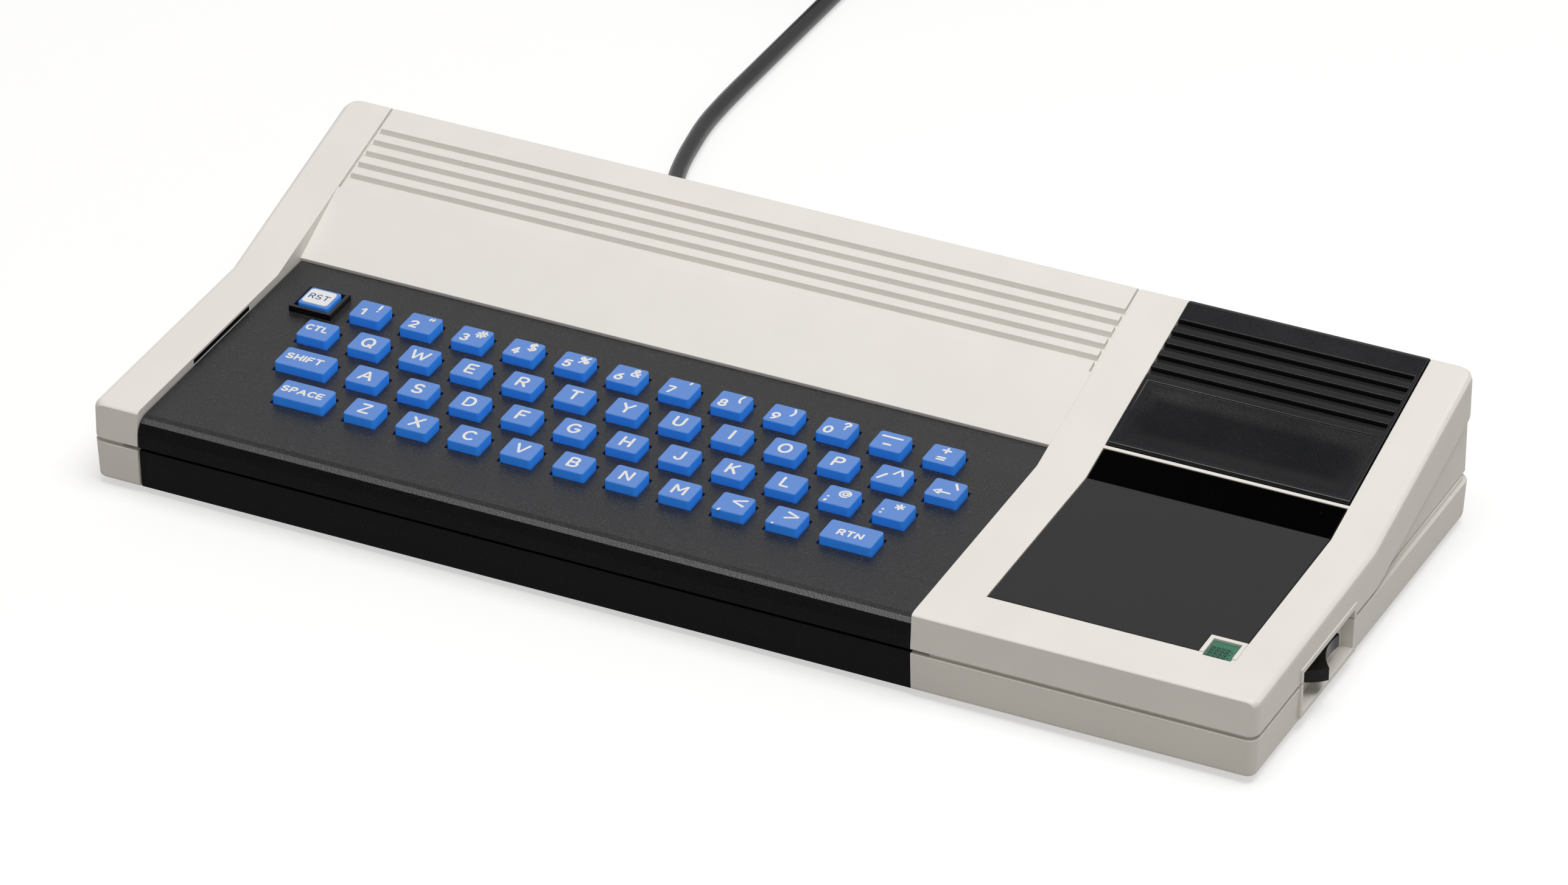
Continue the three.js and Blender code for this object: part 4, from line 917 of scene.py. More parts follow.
    def build(self) -> Pieces:
        """Returns:
            The lead and the pieces on it.
        """
        line = self.line()
        lead = self.lead(line)
        start = line[0] + Vector((0, self.seat, 0))
        relief = self.relief("case_strain_relief", start, self.relief_length, self.relief_radii)
        ends = self.transformer(line[-1])
        return [lead, relief, *ends]


@dataclass
class CaseShells:
    """The case's halves, the deck, the black trim, the panel and the board, as packed but refined."""

    slot_front: float = 32.3
    slot_length: float = 31.5
    slot_sink: float = 3.0
    slot_skin: float = 0.9
    edge: float = 0.0003
    front_face: float = 5.0
    guard_foot: float = 0.2

    looks = {
        "top_case": (WARM_WHITE, Slot.CASE),
        "bottom_case": (WARM_WHITE, Slot.CASE),
        "keyboard_deck": (GRAINED_BLACK, Slot.DECK),
        "front_trim": (BAND_BLACK, Slot.DECK),
        "gloss_panel": (GLOSS_BLACK, Slot.GLOSS),
        "main_board": (BOARD_GREEN, Slot.BOARD),
    }

    def in_overlay_slot(self, place: Vector, normal: Vector) -> bool:
        """Whether a face lies inside a slot beside the deck.

        Args:
            place: Its middle, in the case's millimetres.
            normal: Its direction, which doesn't matter here.

        Returns:
            Whether it does, within a tenth of a millimetre.
        """
        inside = -0.1 < place.y - self.slot_front < self.slot_length + 0.1
        sideways = max(CASE.rail_inner - place.x, place.x - CASE.deck_right)
        low, high = CASE.deck_top(place.y) - 0.1, CASE.rail_top(place.y) - self.slot_skin + 0.1
        return inside and 0.02 < sideways < self.slot_sink + 0.1 and low < place.z < high

    def build(self) -> Pieces:
        """Makes the refined copies.

        Returns:
            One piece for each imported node.
        """
        shapes = {node: Shape.of_node(node) for node in self.looks}
        # painted shade: faces inside the slots beside the deck are painted near-black
        shapes["top_case"].paint(SHADED_BLACK, self.in_overlay_slot).soften(self.edge)
        shapes["bottom_case"].paint(FOOT_RUBBER, lambda place, _: place.z < -0.01).soften(self.edge)
        deck = shapes["keyboard_deck"]
        # painted shade: the deck's front faces and the lower facets of its front rounding take the darker, less
        # glossy band finish
        deck.paint(BAND_BLACK, lambda place, normal: place.y < self.front_face and normal.y < -0.75)
        deck.paint(GUARD_BLACK, lambda place, _: place.z > CASE.deck_top(place.y) + self.guard_foot)
        return [
            shapes[node].smooth().finish(node + "_shell", look, slot, node)
            for node, (look, slot) in self.looks.items()
        ]


@dataclass
class HiddenFittings:
    """What the photograph hides: the shells and pins of the rear sockets, and the screws in the underside."""

    socket_places: tuple = (-20.0, 6.0, 32.0)
    socket_height: float = 22.0
    socket_face: float = 149.2
    shell_radii: tuple[float, float] = (4.9, 5.5)
    shell_length: float = 0.8
    pin_circle: float = 3.2
    pin_radius: float = 0.55
    pin_angles: tuple = (0, 45, 90, 135, 180)
    screw_places: tuple = ((-158, 40), (-158, 118), (0, 12), (0, 138), (158, 30), (158, 118))
    screw_radius: float = 3.0
    screw_rise: float = 0.8
    ridge_width: float = 1.6
    ridge_start: float = 0.4
    ridge_end: float = 1.8
    ridge_rise: float = 0.25

    def sockets(self) -> bpy.types.Object:
        """The metal of the sockets.

        Returns:
            Shells and pins as one piece.
        """
        metal = Shape()
        for x in self.socket_places:
            start = Vector((x, self.socket_face - 0.1, self.socket_height))
            metal.add(Shape.ring(start, self.shell_radii, self.shell_length))
            for angle in map(math.radians, self.pin_angles):
                foot = start + Vector((math.cos(angle), 0, -math.sin(angle))) * self.pin_circle
                tip = foot + Vector((0, self.shell_length, 0))
                metal.add(Shape.cone(foot, tip, (self.pin_radius, self.pin_radius * 0.7), 12))
        return metal.moved(CASE.matrix()).smooth(0.6).finish("socket_metal", PLATED_METAL, None)

    def screws(self) -> bpy.types.Object:
        """Screw heads in the underside, each with a slot's two raised halves.

        Returns:
            All heads as one piece.
        """
        heads = Shape()
        wide, start, end = self.ridge_width, self.ridge_start, self.ridge_end
        for x, depth in self.screw_places:
            low, high = Vector((x, depth, -self.screw_rise)), Vector((x, depth, 0.1))
            heads.add(Shape.cone(high, low, (self.screw_radius, self.screw_radius * 0.8), 24))
            for near, far in ((-end, -start), (start, end)):
                corner = (x - wide, depth + near, -self.screw_rise - self.ridge_rise)
                heads.add(Shape.block(corner, (x + wide, depth + far, low.z + 0.1), 0.1, 1))
        return heads.moved(CASE.matrix()).smooth(0.9).finish("underside_screws", PLATED_METAL, None)

    def build(self) -> Pieces:
        """Makes the fittings."""
        return [self.sockets(), self.screws()]


@dataclass
class IndicatorWindow:
    """The small green plate in the panel's front right corner, with dark marks on it."""

    right: float = 158.7
    front: float = 15.5
    size: float = 8.0
    sink: float = 1.5
    rise: float = 1.15
    margin: float = 0.1
    rounding: float = 0.12
    mark_margin: float = 0.6
    mark_gap: float = 0.3
    mark_rise: float = 0.04
    mark_rows: tuple = ((0.5, 0.5), (1.3, 0.3), (1.9, 0.5), (2.7, 0.3), (3.3, 0.5), (4.1, 0.3), (4.7, 0.45))
    mark_lengths: tuple = ((4, 1.1), (8, 0.5))

    def build(self) -> Pieces:
        """Makes the plate and its marks.

        Returns:
            Both pieces.
        """
        middle = self.front + self.size / 2
        where = CASE.sloped(self.right - self.size / 2, middle, CASE.rail_top(middle) - self.sink)
        half = self.size / 2 - self.margin
        plate = Shape.block((-half, -half, -0.05), (half, half, self.rise), self.rounding, 2)
        marks = Shape()
        for row, (depth, thick) in enumerate(self.mark_rows):
            count, long = self.mark_lengths[row % 2]
            y = depth - half
            for step in range(count):
                x = self.mark_margin - half + step * (long + self.mark_gap)
                high = (x + long, y + thick, self.rise + self.mark_rise)
                marks.add(Shape.block((x, y, self.rise - 0.02), high))
        return [
            plate.moved(where).smooth(0.4).finish("window_plate", WINDOW_GREEN, Slot.CASE),
            marks.moved(where).finish("window_marks", WINDOW_MARKS, Slot.CASE),
        ]


@dataclass
class CartridgeCover:
    """The sliding cover of the cartridge bay, whose finger pad is softly scooped."""

    pad_rear: float = 117.5
    pad_area: float = 1000
    pad_drop: float = 2.0
    scoop: float = 0.6
    scoop_steps: int = 12
    scoop_reach: float = 7.2
    groove_top: float = 0.3
    edge: float = 0.0002

    def is_pad(self, face: bmesh.types.BMFace, place: Vector) -> bool:
        """Whether a face, whose middle is given in the case's millimetres, is the pad's flat floor."""
        high = place.y < self.pad_rear and place.z > CASE.rail_top(place.y) - self.pad_drop
        return high and face.normal.z > 0.9 and face.calc_area() > self.pad_area * MM * MM

    def scooped(self, shape: Shape) -> None:
        """Deepens the flat pad in rings, from its border to its middle, and marks the rings with painted shade
        that darkens towards the middle.

        Args:
            shape: The cover's copy.
        """
        back = CASE.matrix().inverted()
        # painted shade: each ring's vertices carry a weight that rises towards the pad's middle
        painted_hollow_shade = shape.mesh.verts.layers.float.new("painted_hollow_shade")
        ring = self.scoop_reach / self.scoop_steps * MM
        for face in [f for f in shape.mesh.faces if self.is_pad(f, back @ f.calc_center_median())]:
            for step in range(self.scoop_steps):
                turns = (math.pi * (step + i) / self.scoop_steps for i in (0, 1))
                before, after = (0.5 - 0.5 * math.cos(turn) for turn in turns)
                down = -(after - before) * self.scoop * MM
                bmesh.ops.inset_individual(
                    shape.mesh, faces=[face], thickness=ring, depth=down, use_even_offset=True
                )
                for vert in face.verts:
                    vert[painted_hollow_shade] = math.sqrt(after)

    def in_groove(self, place: Vector, normal: Vector) -> bool:
        """Whether a face lies in one of the grooves behind the pad."""
        return place.y > self.pad_rear + 0.5 and place.z < CASE.rail_top(place.y) + self.groove_top

    def build(self) -> Pieces:
        """Makes the refined copy.

        Returns:
            The cover.
        """
        shape = Shape.of_node("cartridge_cover")
        self.scooped(shape)
        # painted shade: the grooves behind the pad are painted near-black
        shape.soften(self.edge).paint(SHADED_BLACK, self.in_groove).smooth()
        cover = Body.COVER.value
        return [shape.finish("cover_shell", SATIN_BLACK, Slot.COVER, "cartridge_cover", body=cover)]


@dataclass
class PowerSwitch:
    """The rocker in the right side."""

    strip_mm: float = 3

    def build(self) -> Pieces:
        """Makes the refined copy."""
        shape = Shape.of_node("power_switch").smooth(self.strip_mm)
        return [shape.finish("rocker", ROCKER_BLACK, Slot.SWITCH, "power_switch", body=Body.SWITCH.value)]


@dataclass(frozen=True)
class Arc:
    """Part of an ellipse in a pen stroke, from one angle to another in degrees."""

    x: float
    y: float
    across: float
    up: float
    start: float
    end: float

    def points(self) -> list[tuple[float, float]]:
        """Steps along the arc.

        Returns:
            One point for about each 22 degrees.
        """
        steps = max(3, round(abs(self.end - self.start) / 22))
        angles = [math.radians(self.start + (self.end - self.start) * i / steps) for i in range(steps + 1)]
        return [(self.x + self.across * math.cos(a), self.y + self.up * math.sin(a)) for a in angles]


BOWL = (Arc(0.06, 0.73, 0.25, 0.27, 90, -90), (-0.3, 0.46))
RING = (Arc(0, 0.5, 0.41, 0.5, 90, 450),)
ESS = (Arc(0, 0.745, 0.29, 0.255, 35, 270), Arc(0, 0.245, 0.32, 0.245, 90, -150))

# Each sign's pen strokes, on a line of height 1 about x = 0
SIGNS: dict[str, tuple] = {
    "A": (((-0.42, 0), (0, 1), (0.42, 0)), ((-0.27, 0.34), (0.27, 0.34))),
    "B": (
        ((-0.3, 0), (-0.3, 1), (0.06, 1), Arc(0.06, 0.76, 0.22, 0.24, 90, -90), (-0.3, 0.52)),
        ((0.06, 0.52), Arc(0.08, 0.26, 0.26, 0.26, 90, -90), (-0.3, 0)),
    ),
    "C": ((Arc(0.03, 0.5, 0.4, 0.5, 48, 312),),),
    "D": (((-0.33, 0), (-0.33, 1), (-0.02, 1), Arc(-0.02, 0.5, 0.37, 0.5, 90, -90), (-0.33, 0)),),
    "E": (((0.3, 1), (-0.3, 1), (-0.3, 0), (0.3, 0)), ((-0.3, 0.5), (0.2, 0.5))),
    "F": (((0.3, 1), (-0.28, 1), (-0.28, 0)), ((-0.28, 0.5), (0.18, 0.5))),
    "G": ((Arc(0.02, 0.5, 0.41, 0.5, 50, 340), (0.41, 0.46), (0.12, 0.46)),),
    "H": (((-0.32, 0), (-0.32, 1)), ((0.32, 0), (0.32, 1)), ((-0.32, 0.5), (0.32, 0.5))),
    "I": (((0, 0), (0, 1)),),
    "J": (((0.2, 1), (0.2, 0.26), Arc(-0.04, 0.25, 0.24, 0.25, 0, -165)),),
    "K": (((-0.3, 0), (-0.3, 1)), ((0.3, 1), (-0.3, 0.38)), ((-0.07, 0.6), (0.34, 0))),
    "L": (((-0.27, 1), (-0.27, 0), (0.27, 0)),),
    "M": (((-0.42, 0), (-0.42, 1), (0, 0.3), (0.42, 1), (0.42, 0)),),
    "N": (((-0.34, 0), (-0.34, 1), (0.34, 0), (0.34, 1)),),
    "O": (RING,),
    "P": (((-0.3, 0), (-0.3, 1), (0.06, 1), *BOWL),),
    "Q": (RING, ((0.12, 0.26), (0.4, -0.05))),
    "R": (((-0.3, 0), (-0.3, 1), (0.06, 1), *BOWL), ((0.02, 0.46), (0.33, 0))),
    "S": (ESS,),
    "T": (((-0.34, 1), (0.34, 1)), ((0, 1), (0, 0))),
    "U": (((-0.33, 1), (-0.33, 0.34), Arc(0, 0.33, 0.33, 0.33, 180, 360), (0.33, 1)),),
    "V": (((-0.4, 1), (0, 0), (0.4, 1)),),
    "W": (((-0.6, 1), (-0.3, 0), (0, 0.92), (0.3, 0), (0.6, 1)),),
    "X": (((-0.37, 1), (0.37, 0)), ((0.37, 1), (-0.37, 0))),
    "Y": (((-0.38, 1), (0, 0.47), (0.38, 1)), ((0, 0.47), (0, 0))),
    "Z": (((-0.33, 1), (0.33, 1), (-0.36, 0), (0.36, 0)),),
    "0": ((Arc(0, 0.5, 0.34, 0.5, 90, 450),),),
    "1": (((-0.2, 0.72), (0.08, 1), (0.08, 0)),),
    "2": ((Arc(0, 0.72, 0.31, 0.28, 165, -38), (-0.33, 0), (0.33, 0)),),
    "3": ((Arc(-0.02, 0.76, 0.27, 0.24, 150, -90), Arc(-0.02, 0.26, 0.31, 0.26, 90, -150)),),
    "4": (((0.12, 0), (0.12, 1), (-0.34, 0.27), (0.32, 0.27)),),
    "5": (((0.27, 1), (-0.22, 1), (-0.27, 0.55), Arc(-0.02, 0.32, 0.32, 0.32, 128, -148)),),
    "6": (((0.2, 0.98), (-0.03, 0.82), (-0.23, 0.56), Arc(0, 0.3, 0.31, 0.3, 150, 510)),),
    "7": (((-0.31, 1), (0.31, 1), (-0.1, 0)),),
    "8": ((Arc(0, 0.75, 0.26, 0.25, -90, 270),), (Arc(0, 0.255, 0.32, 0.255, 90, 450),)),
    "9": (((-0.2, 0.02), (0.03, 0.18), (0.23, 0.44), Arc(0, 0.7, 0.31, 0.3, -30, 330)),),
    "!": (((0, 1), (0, 0.36)), ((0, 0), (0, 0.01))),
    '"': (((-0.2, 1), (-0.26, 0.68)), ((0.24, 1), (0.18, 0.68))),
    "#": (
        ((-0.24, 0), (-0.06, 1)),
        ((0.08, 0), (0.26, 1)),
        ((-0.46, 0.33), (0.4, 0.33)),
        ((-0.4, 0.67), (0.46, 0.67)),
    ),
    "$": (ESS, ((0, 1.12), (0, -0.12))),
    "%": (
        ((0.36, 1), (-0.36, 0)),
        (Arc(-0.26, 0.77, 0.16, 0.18, 0, 360),),
        (Arc(0.26, 0.23, 0.16, 0.18, 0, 360),),
    ),
    "&": (
        (
            (0.4, 0),
            (-0.2, 0.72),
            Arc(-0.02, 0.82, 0.19, 0.18, 195, -30),
            (-0.24, 0.44),
            Arc(-0.07, 0.22, 0.27, 0.22, 150, 320),
            (0.38, 0.46),
        ),
    ),
    "'": (((0.02, 1), (-0.06, 0.7)),),
    "(": ((Arc(0.4, 0.5, 0.5, 0.68, 130, 230),),),
    ")": ((Arc(-0.4, 0.5, 0.5, 0.68, 50, -50),),),
    "?": ((Arc(0, 0.76, 0.26, 0.24, 170, -50), (0.01, 0.48), (0, 0.3)), ((0, 0), (0, 0.01))),
    "-": (((-0.5, 0.5), (0.5, 0.5)),),
    "+": (((-0.5, 0.5), (0.5, 0.5)), ((0, 0), (0, 1))),
    "=": (((-0.5, 0.25), (0.5, 0.25)), ((-0.5, 0.75), (0.5, 0.75))),
    "/": (((-0.3, 0), (0.3, 1)),),
    "\\": (((-0.3, 1), (0.3, 0)),),
    "^": (((-0.5, 0), (0, 1), (0.5, 0)),),
    "<": (((0.6, 1), (-0.6, 0.5), (0.6, 0)),),
    ">": (((-0.6, 1), (0.6, 0.5), (-0.6, 0)),),
    ".": (((0, 0), (0, 0.01)),),
    ",": (((0.04, 0.1), (0, -0.15)),),
    ";": (((0.02, 1), (0.02, 0.99)), ((0.04, 0.1), (-0.02, -0.18))),
    ":": (((0, 1), (0, 0.99)), ((0, 0), (0, 0.01))),
    "*": (((0, 0), (0, 1)), ((-0.43, 0.25), (0.43, 0.75)), ((-0.43, 0.75), (0.43, 0.25))),
    "@": (
        (Arc(0, 0.5, 0.5, 0.5, -55, -360), (0.48, 0.36), (0.36, 0.3), (0.25, 0.4), (0.25, 0.72)),
        (Arc(0.01, 0.5, 0.23, 0.23, 0, 360),),
    ),
    "_": (((0.5, 0.5), (-0.2, 0.5)), ((-0.5, 0.5), (-0.1, 0.74), (-0.1, 0.26), (-0.5, 0.5))),
}


@dataclass(frozen=True)
class Mark:
    """A sign or word on a key: where its middle lies, its height between pen centres, and its width."""

    text: str
    x: float
    y: float
    height: float
    width: float = 0.0
    pen: float = 0.8
    gap: float = 0.36

    def strokes(self) -> list[list[Vector]]:
        """The pen strokes in millimetres about the key's middle.

        Returns:
            One list of points for each stroke.
        """
        runs, cursor = [], 0.0
        for letter in self.text:
            drawn = [self.spread(stroke) for stroke in SIGNS[letter]]
            across = [x for stroke in drawn for x, _ in stroke]
            runs += [[(x - min(across) + cursor, y) for x, y in stroke] for stroke in drawn]
            cursor += max(across) - min(across) + self.gap
        total = cursor - self.gap
        wide = (self.width - self.pen) / total if len(self.text) > 1 else self.height
        middle, place = Vector((total / 2, 0.5, 0)), Vector((self.x, self.y, 0))
        scale = Matrix.Diagonal((wide, self.height, 1))
        return [[scale @ (Vector((x, y, 0)) - middle) + place for x, y in stroke] for stroke in runs]

    @staticmethod
    def spread(stroke: tuple) -> list[tuple[float, float]]:
        """A stroke with its arcs stepped.

        Args:
            stroke: Points and arcs.

        Returns:
            Points alone.
        """
        points = []
        for item in stroke:
            points += item.points() if isinstance(item, Arc) else [item]
        return points


@dataclass
class Lettering:
    """Turns pen strokes into slightly raised print."""

    relief: float = 0.05
    tip_steps: int = 3
    sharp_turn: float = 35
    corner_cut: float = 0.7

    def softened(self, points: list[Vector], cut: float) -> list[Vector]:
        """A stroke whose sharp corners are cut short, so that the print rounds them.

        Args:
            points: The stroke.
            cut: How much of each side is cut at most.

        Returns:
            The stroke's new points.
        """
        result = [points[0]]
        for before, corner, after in zip(points, points[1:], points[2:]):
            sides = before - corner, after - corner
            if math.pi - sides[0].angle(sides[1], math.pi) > math.radians(self.sharp_turn):
                near = min(cut, *(side.length / 3 for side in sides))
                result += [corner + side.normalized() * near for side in sides]
            else:
                result.append(corner)
        return [*result, points[-1]]

    def tip(self, end: Vector, inner: Vector, radius: float) -> list[tuple[Vector, float]]:
        """Rounds off a stroke's end.

        Args:
            end: Its last point.
            inner: The point before it.
            radius: Half the pen's width.

        Returns:
            Points and radii, from the tip inwards.
        """
        angles = [(i + 0.6) * math.pi / 2 / (self.tip_steps + 0.6) for i in range(self.tip_steps)]
        away = (end - inner).normalized()
        return [(end + away * radius * math.cos(a), radius * math.sin(a)) for a in angles]

    def shape(self, marks: list[Mark]) -> Shape:
        """The raised print of all marks on one key, about the key's middle at height 0.

        Args:
            marks: The key's signs and words.

        Returns:
            The print.
        """
        data = bpy.data.curves.new("pen", "CURVE")
        data.dimensions = "3D"
        data.bevel_depth = 1
        data.bevel_resolution = 1
        data.use_fill_caps = True
        for mark in marks:
            for points in mark.strokes():
                self.draw(data, points, mark.pen / 2)
        pen = put("pen", data)
        bpy.context.view_layer.update()
        mesh = bpy.data.meshes.new_from_object(pen.evaluated_get(bpy.context.evaluated_depsgraph_get()))
        bpy.data.objects.remove(pen)
        bpy.data.curves.remove(data)
        shape = Shape()
        shape.mesh.from_mesh(mesh)
        bpy.data.meshes.remove(mesh)
        bmesh.ops.remove_doubles(shape.mesh, verts=shape.mesh.verts, dist=1e-4)
        return shape.moved(Matrix.Diagonal((1, 1, 2 * self.relief / marks[0].pen, 1)))

    def draw(self, data: bpy.types.Curve, points: list[Vector], radius: float) -> None:
        """Adds one stroke to the pen's curve.

        Args:
            data: The curve.
            points: The stroke.
            radius: Half the pen's width.
        """
        closed = (points[0] - points[-1]).length < 1e-6
        line = [(point, radius) for point in self.softened(points, radius * self.corner_cut)]
        if closed:
            line.pop()
        else:
            first, last = self.tip(points[0], points[1], radius), self.tip(points[-1], points[-2], radius)
            line = [*first, *line, *reversed(last)]
        spline = data.splines.new("POLY")
        spline.use_cyclic_u = closed
        spline.points.add(len(line) - 1)
        for knot, (point, reach) in zip(spline.points, line):
            knot.co = (*point, 1)
            knot.radius = reach


@dataclass
class Keyboard:
    """The sprung keys with their legends."""

    pitch: float = 15.95
    row_pitch: float = 15.29
    stagger: float = 7.65
    first_x: float = -141.95
    first_depth: float = 74.3
    width: float = 9.5
    wide_width: float = 15.5
    length: float = 8.9
    rise: float = 2.7
    flange: float = 1.4
    flange_top: float = -2.3
    flange_thickness: float = 1.2
    corner: float = 0.9
    rounding: float = 0.42
    letter_height: float = 4.05
    plate_rise: float = 0.18
    plate_corner: float = 1.2

    rows = (
        ("reset", *"1234567890", "minus", "equals"),
        ("ctl", *"qwertyuiop", "slash", "arrow"),
        ("shift", *"asdfghjkl", "semicolon", "colon"),
        ("space", *"zxcvbnm", "comma", "period", "return"),
    )
    wide_side = {"shift": -1, "space": -1, "return": 1}
    signs = {
        "ctl": [Mark("CTL", -0.45, 0.55, 2.3, 6.9, 0.65)],
        "shift": [Mark("SHIFT", -0.6, 0.3, 2.35, 11.2, 0.65)],
        "space": [Mark("SPACE", -0.5, 0.1, 2.35, 12.8, 0.65)],
        "return": [Mark("RTN", 0, -0.55, 2.3, 7.6, 0.65)],
        "reset": [Mark("RST", -0.05, -0.1, 2.2, 6.2, 0.4)],
        "minus": [Mark("-", -0.25, 1.95, 5.7), Mark("-", -0.3, -1.8, 1.9)],
        "equals": [Mark("+", 0, 2.1, 2.2, pen=0.7), Mark("=", 0, -2.05, 2.1, pen=0.7)],
        "slash": [Mark("/", -2.4, -1.25, 2.6), Mark("^", 1.5, 2.0, 2.6, pen=0.7)],
        "arrow": [Mark("_", -0.5, -1.75, 4.6, pen=0.7), Mark("\\", 2.4, 2.0, 2.4, pen=0.7)],
        "semicolon": [Mark(";", -2.9, -2.2, 1.9), Mark("@", 1.0, 1.4, 3.1, pen=0.55)],
        "colon": [Mark(":", -2.8, -1.7, 1.7), Mark("*", 1.0, 1.8, 2.4, pen=0.65)],
        "comma": [Mark(",", -2.4, -3.0, 2.4), Mark("<", 1.2, 0.9, 2.9)],
        "period": [Mark(".", -2.4, -3.1, 2.4), Mark(">", 1.3, 0.85, 2.9)],
    }

    def marks(self, name: str) -> list[Mark]:
        """The legend of a key.

        Args:
            name: The key's name.

        Returns:
            Its signs and words.
        """
        if name in self.signs:
            return self.signs[name]
        if name not in self.rows[0]:
            return [Mark(name.upper(), 0, 0, self.letter_height)]
        column = self.rows[0].index(name) - 1
        drift = column / 9
        sign = "!\"#$%&'()?"[column]
        digit = Mark(name, -1.6 - 0.4 * drift, -1.1 - 0.5 * drift, 3.0, pen=0.75)
        high = {"'": 2.6, '"': 2.0}.get(sign, 1.75)
        return [digit, Mark(sign, 2.1, high, 2.1 if sign in "\"'" else 3.1, pen=0.7)]

    def cap(self, width: float) -> Shape:
        """A key's cap and flange about the deck's top, with its top marked for the paler painted highlight.

        Args:
            width: The cap's width.

        Returns:
            The cap.
        """
        half, deep = width / 2, self.length / 2
        base = self.flange_top - self.flange_thickness / 2
        cap = Shape.tablet((-half, -deep, base), (half, deep, self.rise), self.corner, self.rounding, 4)
        half, deep = half + self.flange, deep + self.flange
        low = (-half, -deep, self.flange_top - self.flange_thickness)
        cap.add(Shape.block(low, (half, deep, self.flange_top), 0.5, 2))
        # painted highlight: pale is 1 on the cap's top and falls to 0 down its rounded edge
        pale = cap.mesh.verts.layers.float.new("pale")
        for vert in cap.mesh.verts:
            vert[pale] = min(max((vert.co.z - self.rise + self.rounding) / (0.8 * self.rounding), 0), 1)
        return cap

    def key(self, name: str, width: float, where: Matrix) -> Pieces:
        """One key with its legend.

        Args:
            name: The key's name.
            width: Its cap's width.
            where: The change from millimetres about its middle to the row frame.

        Returns:
            Its pieces.
        """
        body, top = "key_" + name, self.rise
        look, ink, slot = BLUE_RUBBER, WHITE_INK, Slot.KEY
        if name == "reset":
            ink, slot = BLUE_INK, Slot.RESET
        cap = self.cap(width).moved(where).smooth(1.2)
        pieces = [cap.finish("cap_" + name, look, slot, body, body=body)]
        if name == "reset":
            top += self.plate_rise
            plate = Shape.tablet((-4.1, -3.7, self.rise - 0.2), (4.0, 3.5, top), self.plate_corner, 0.1, 2)
            plate.moved(where).smooth(0.5)
            pieces.append(plate.finish("plate_reset", RESET_WHITE, slot, body=body))
        legend = Lettering().shape(self.marks(name)).moved(where @ Matrix.Translation((0, 0, top)))
        return [*pieces, legend.smooth(9, 80).finish("legend_" + name, ink, slot, body=body)]

    def build(self) -> Pieces:
        """Makes every key and its legend.

        Returns:
            All their pieces.
        """
        pieces = []
        for row, names in enumerate(self.rows):
            depth = self.first_depth - row * self.row_pitch
            for column, name in enumerate(names):
                side = self.wide_side.get(name, 0)
                width = self.wide_width if side else self.width
                x = self.first_x + column * self.pitch + row * self.stagger + side * (width - self.width) / 2
                pieces += self.key(name, width, CASE.sloped(x, depth, CASE.deck_top(depth)))
        return pieces


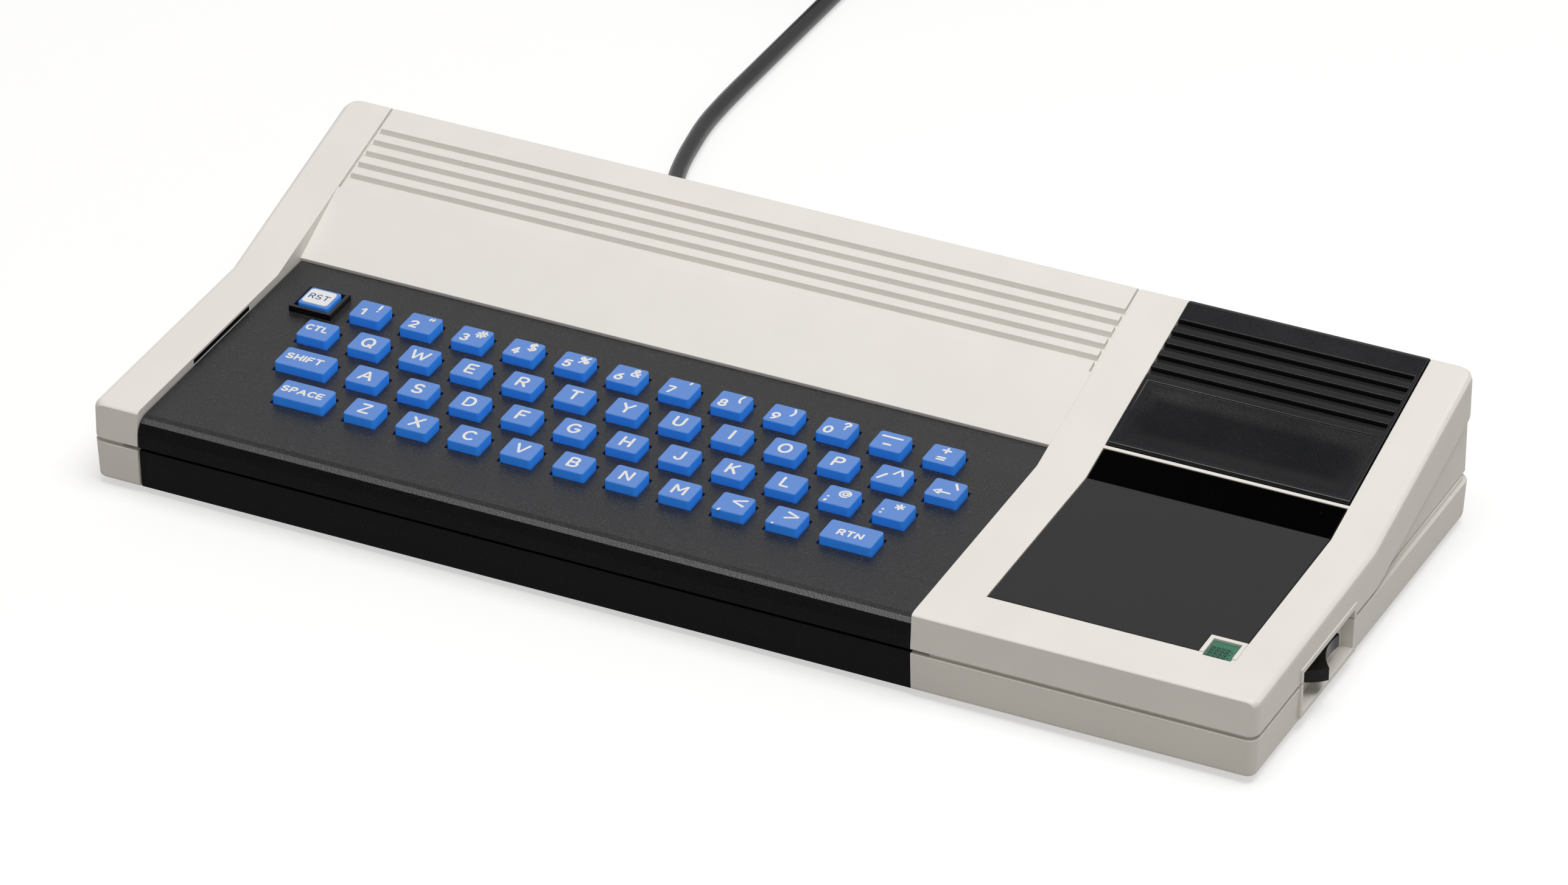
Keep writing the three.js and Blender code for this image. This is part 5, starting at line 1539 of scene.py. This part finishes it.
@dataclass
class Studio:
    """Pale floor, soft light, and a white surround mirrored as a wall, a dark ceiling and a bright strip."""

    floor_size: float = 12.0
    glow: float = 0.55
    bounce: Colour = (0.45, 0.44, 0.415)
    ambient: Colour = (0.335, 0.325, 0.308)
    key_watts: float = 40.5
    key_place: Place = (0.38, -0.12, 2.18)
    key_size: float = 1.5
    near_wall: Colour = (0.05, 0.05, 0.05)
    far_wall: Colour = (0.6, 0.6, 0.6)
    ceiling: Colour = (0.01, 0.01, 0.01)
    strip: Colour = (3.6, 3.55, 3.45)

    def floor(self) -> None:
        """The floor: white to the camera and in reflections, greyer for the light that it throws back."""
        material, graph = new_material("pale_floor", (0.9, 0.9, 0.9))
        grey = graph.node("ShaderNodeBsdfDiffuse", {}, {"Color": (*self.bounce, 1)})
        lit = graph.node("ShaderNodeBsdfDiffuse", {}, {"Color": (1, 1, 1, 1)})
        glow = graph.node("ShaderNodeEmission", {}, {"Color": (1, 1, 1, 1), "Strength": 1.0})
        white = graph.node("ShaderNodeMixShader", {}, {0: self.glow, 1: lit, 2: glow})
        both = graph.node("ShaderNodeMixShader", {}, {0: self.seen(graph), 1: grey, 2: white})
        graph.node("ShaderNodeOutputMaterial", {}, {"Surface": both})
        data = bpy.data.meshes.new("floor")
        sheet = bmesh.new()
        bmesh.ops.create_grid(sheet, x_segments=1, y_segments=1, size=self.floor_size / 2)
        sheet.to_mesh(data)
        sheet.free()
        data.materials.append(material)
        put("floor", data)

    @staticmethod
    def seen(graph: Graph) -> Signal:
        """Tells rays from the camera, in reflections and through glass from others.

        Args:
            graph: The node tree that asks.

        Returns:
            1 for such rays, else 0.
        """
        rays = ("Is Camera Ray", "Is Glossy Ray", "Is Transmission Ray")
        camera, glossy, through = (graph.node("ShaderNodeLightPath", {}, {}, ray) for ray in rays)
        return (camera + glossy + through).clamped()

    def surround(self) -> None:
        """The world: plain light; white where seen, and mirrored as a pale wall under a dark ceiling."""
        world = bpy.data.worlds.new("surround")
        bpy.context.scene.world = world
        world.use_nodes = True
        graph = Graph(world.node_tree)
        way = graph.node("ShaderNodeTexCoord", {}, {}, "Generated")
        back, rise = graph.axis(way, "Y"), graph.axis(way, "Z")
        wall = graph.mixed(back.between(-0.35, 0.3), self.near_wall, self.far_wall)
        mirrored = graph.mixed(rise.between(0.6, 0.86), wall, self.ceiling)
        strip = back.between(-0.45, -0.32) * back.between(0.08, -0.05) * rise.between(0.8, 0.87)
        with_strip = graph.mixed(strip, mirrored, self.strip)
        glossy = graph.node("ShaderNodeLightPath", {}, {}, "Is Glossy Ray")
        seen = graph.mixed(glossy, (1, 1, 1), with_strip)
        colour = graph.mixed(self.seen(graph), self.ambient, seen)
        shader = graph.node("ShaderNodeBackground", {}, {"Color": colour, "Strength": 1.0})
        graph.node("ShaderNodeOutputWorld", {}, {"Surface": shader})

    def lamp(self) -> None:
        """One large soft lamp above, to the right."""
        data = bpy.data.lights.new("overhead", "AREA")
        data.energy = self.key_watts
        data.size = self.key_size
        lamp = put("overhead", data)
        lamp.location = self.key_place
        lamp.rotation_euler = Vector(self.key_place).to_track_quat("Z", "Y").to_euler()

    def build(self) -> None:
        """Makes the studio."""
        self.floor()
        self.surround()
        self.lamp()
        bpy.context.scene.view_settings.view_transform = "Standard"


def main() -> None:
    """Builds the scene part by part."""
    logging.basicConfig(level=logging.INFO, format="%(name)s: %(message)s")
    CameraStand().build()
    parts = (PowerLead, CaseShells, HiddenFittings, IndicatorWindow, CartridgeCover, PowerSwitch, Keyboard)
    for part in parts:
        for piece in part().build():
            LOG.info("%s: %s", part.__name__, piece.name)
    Studio().build()


if __name__ == "__main__":
    main()
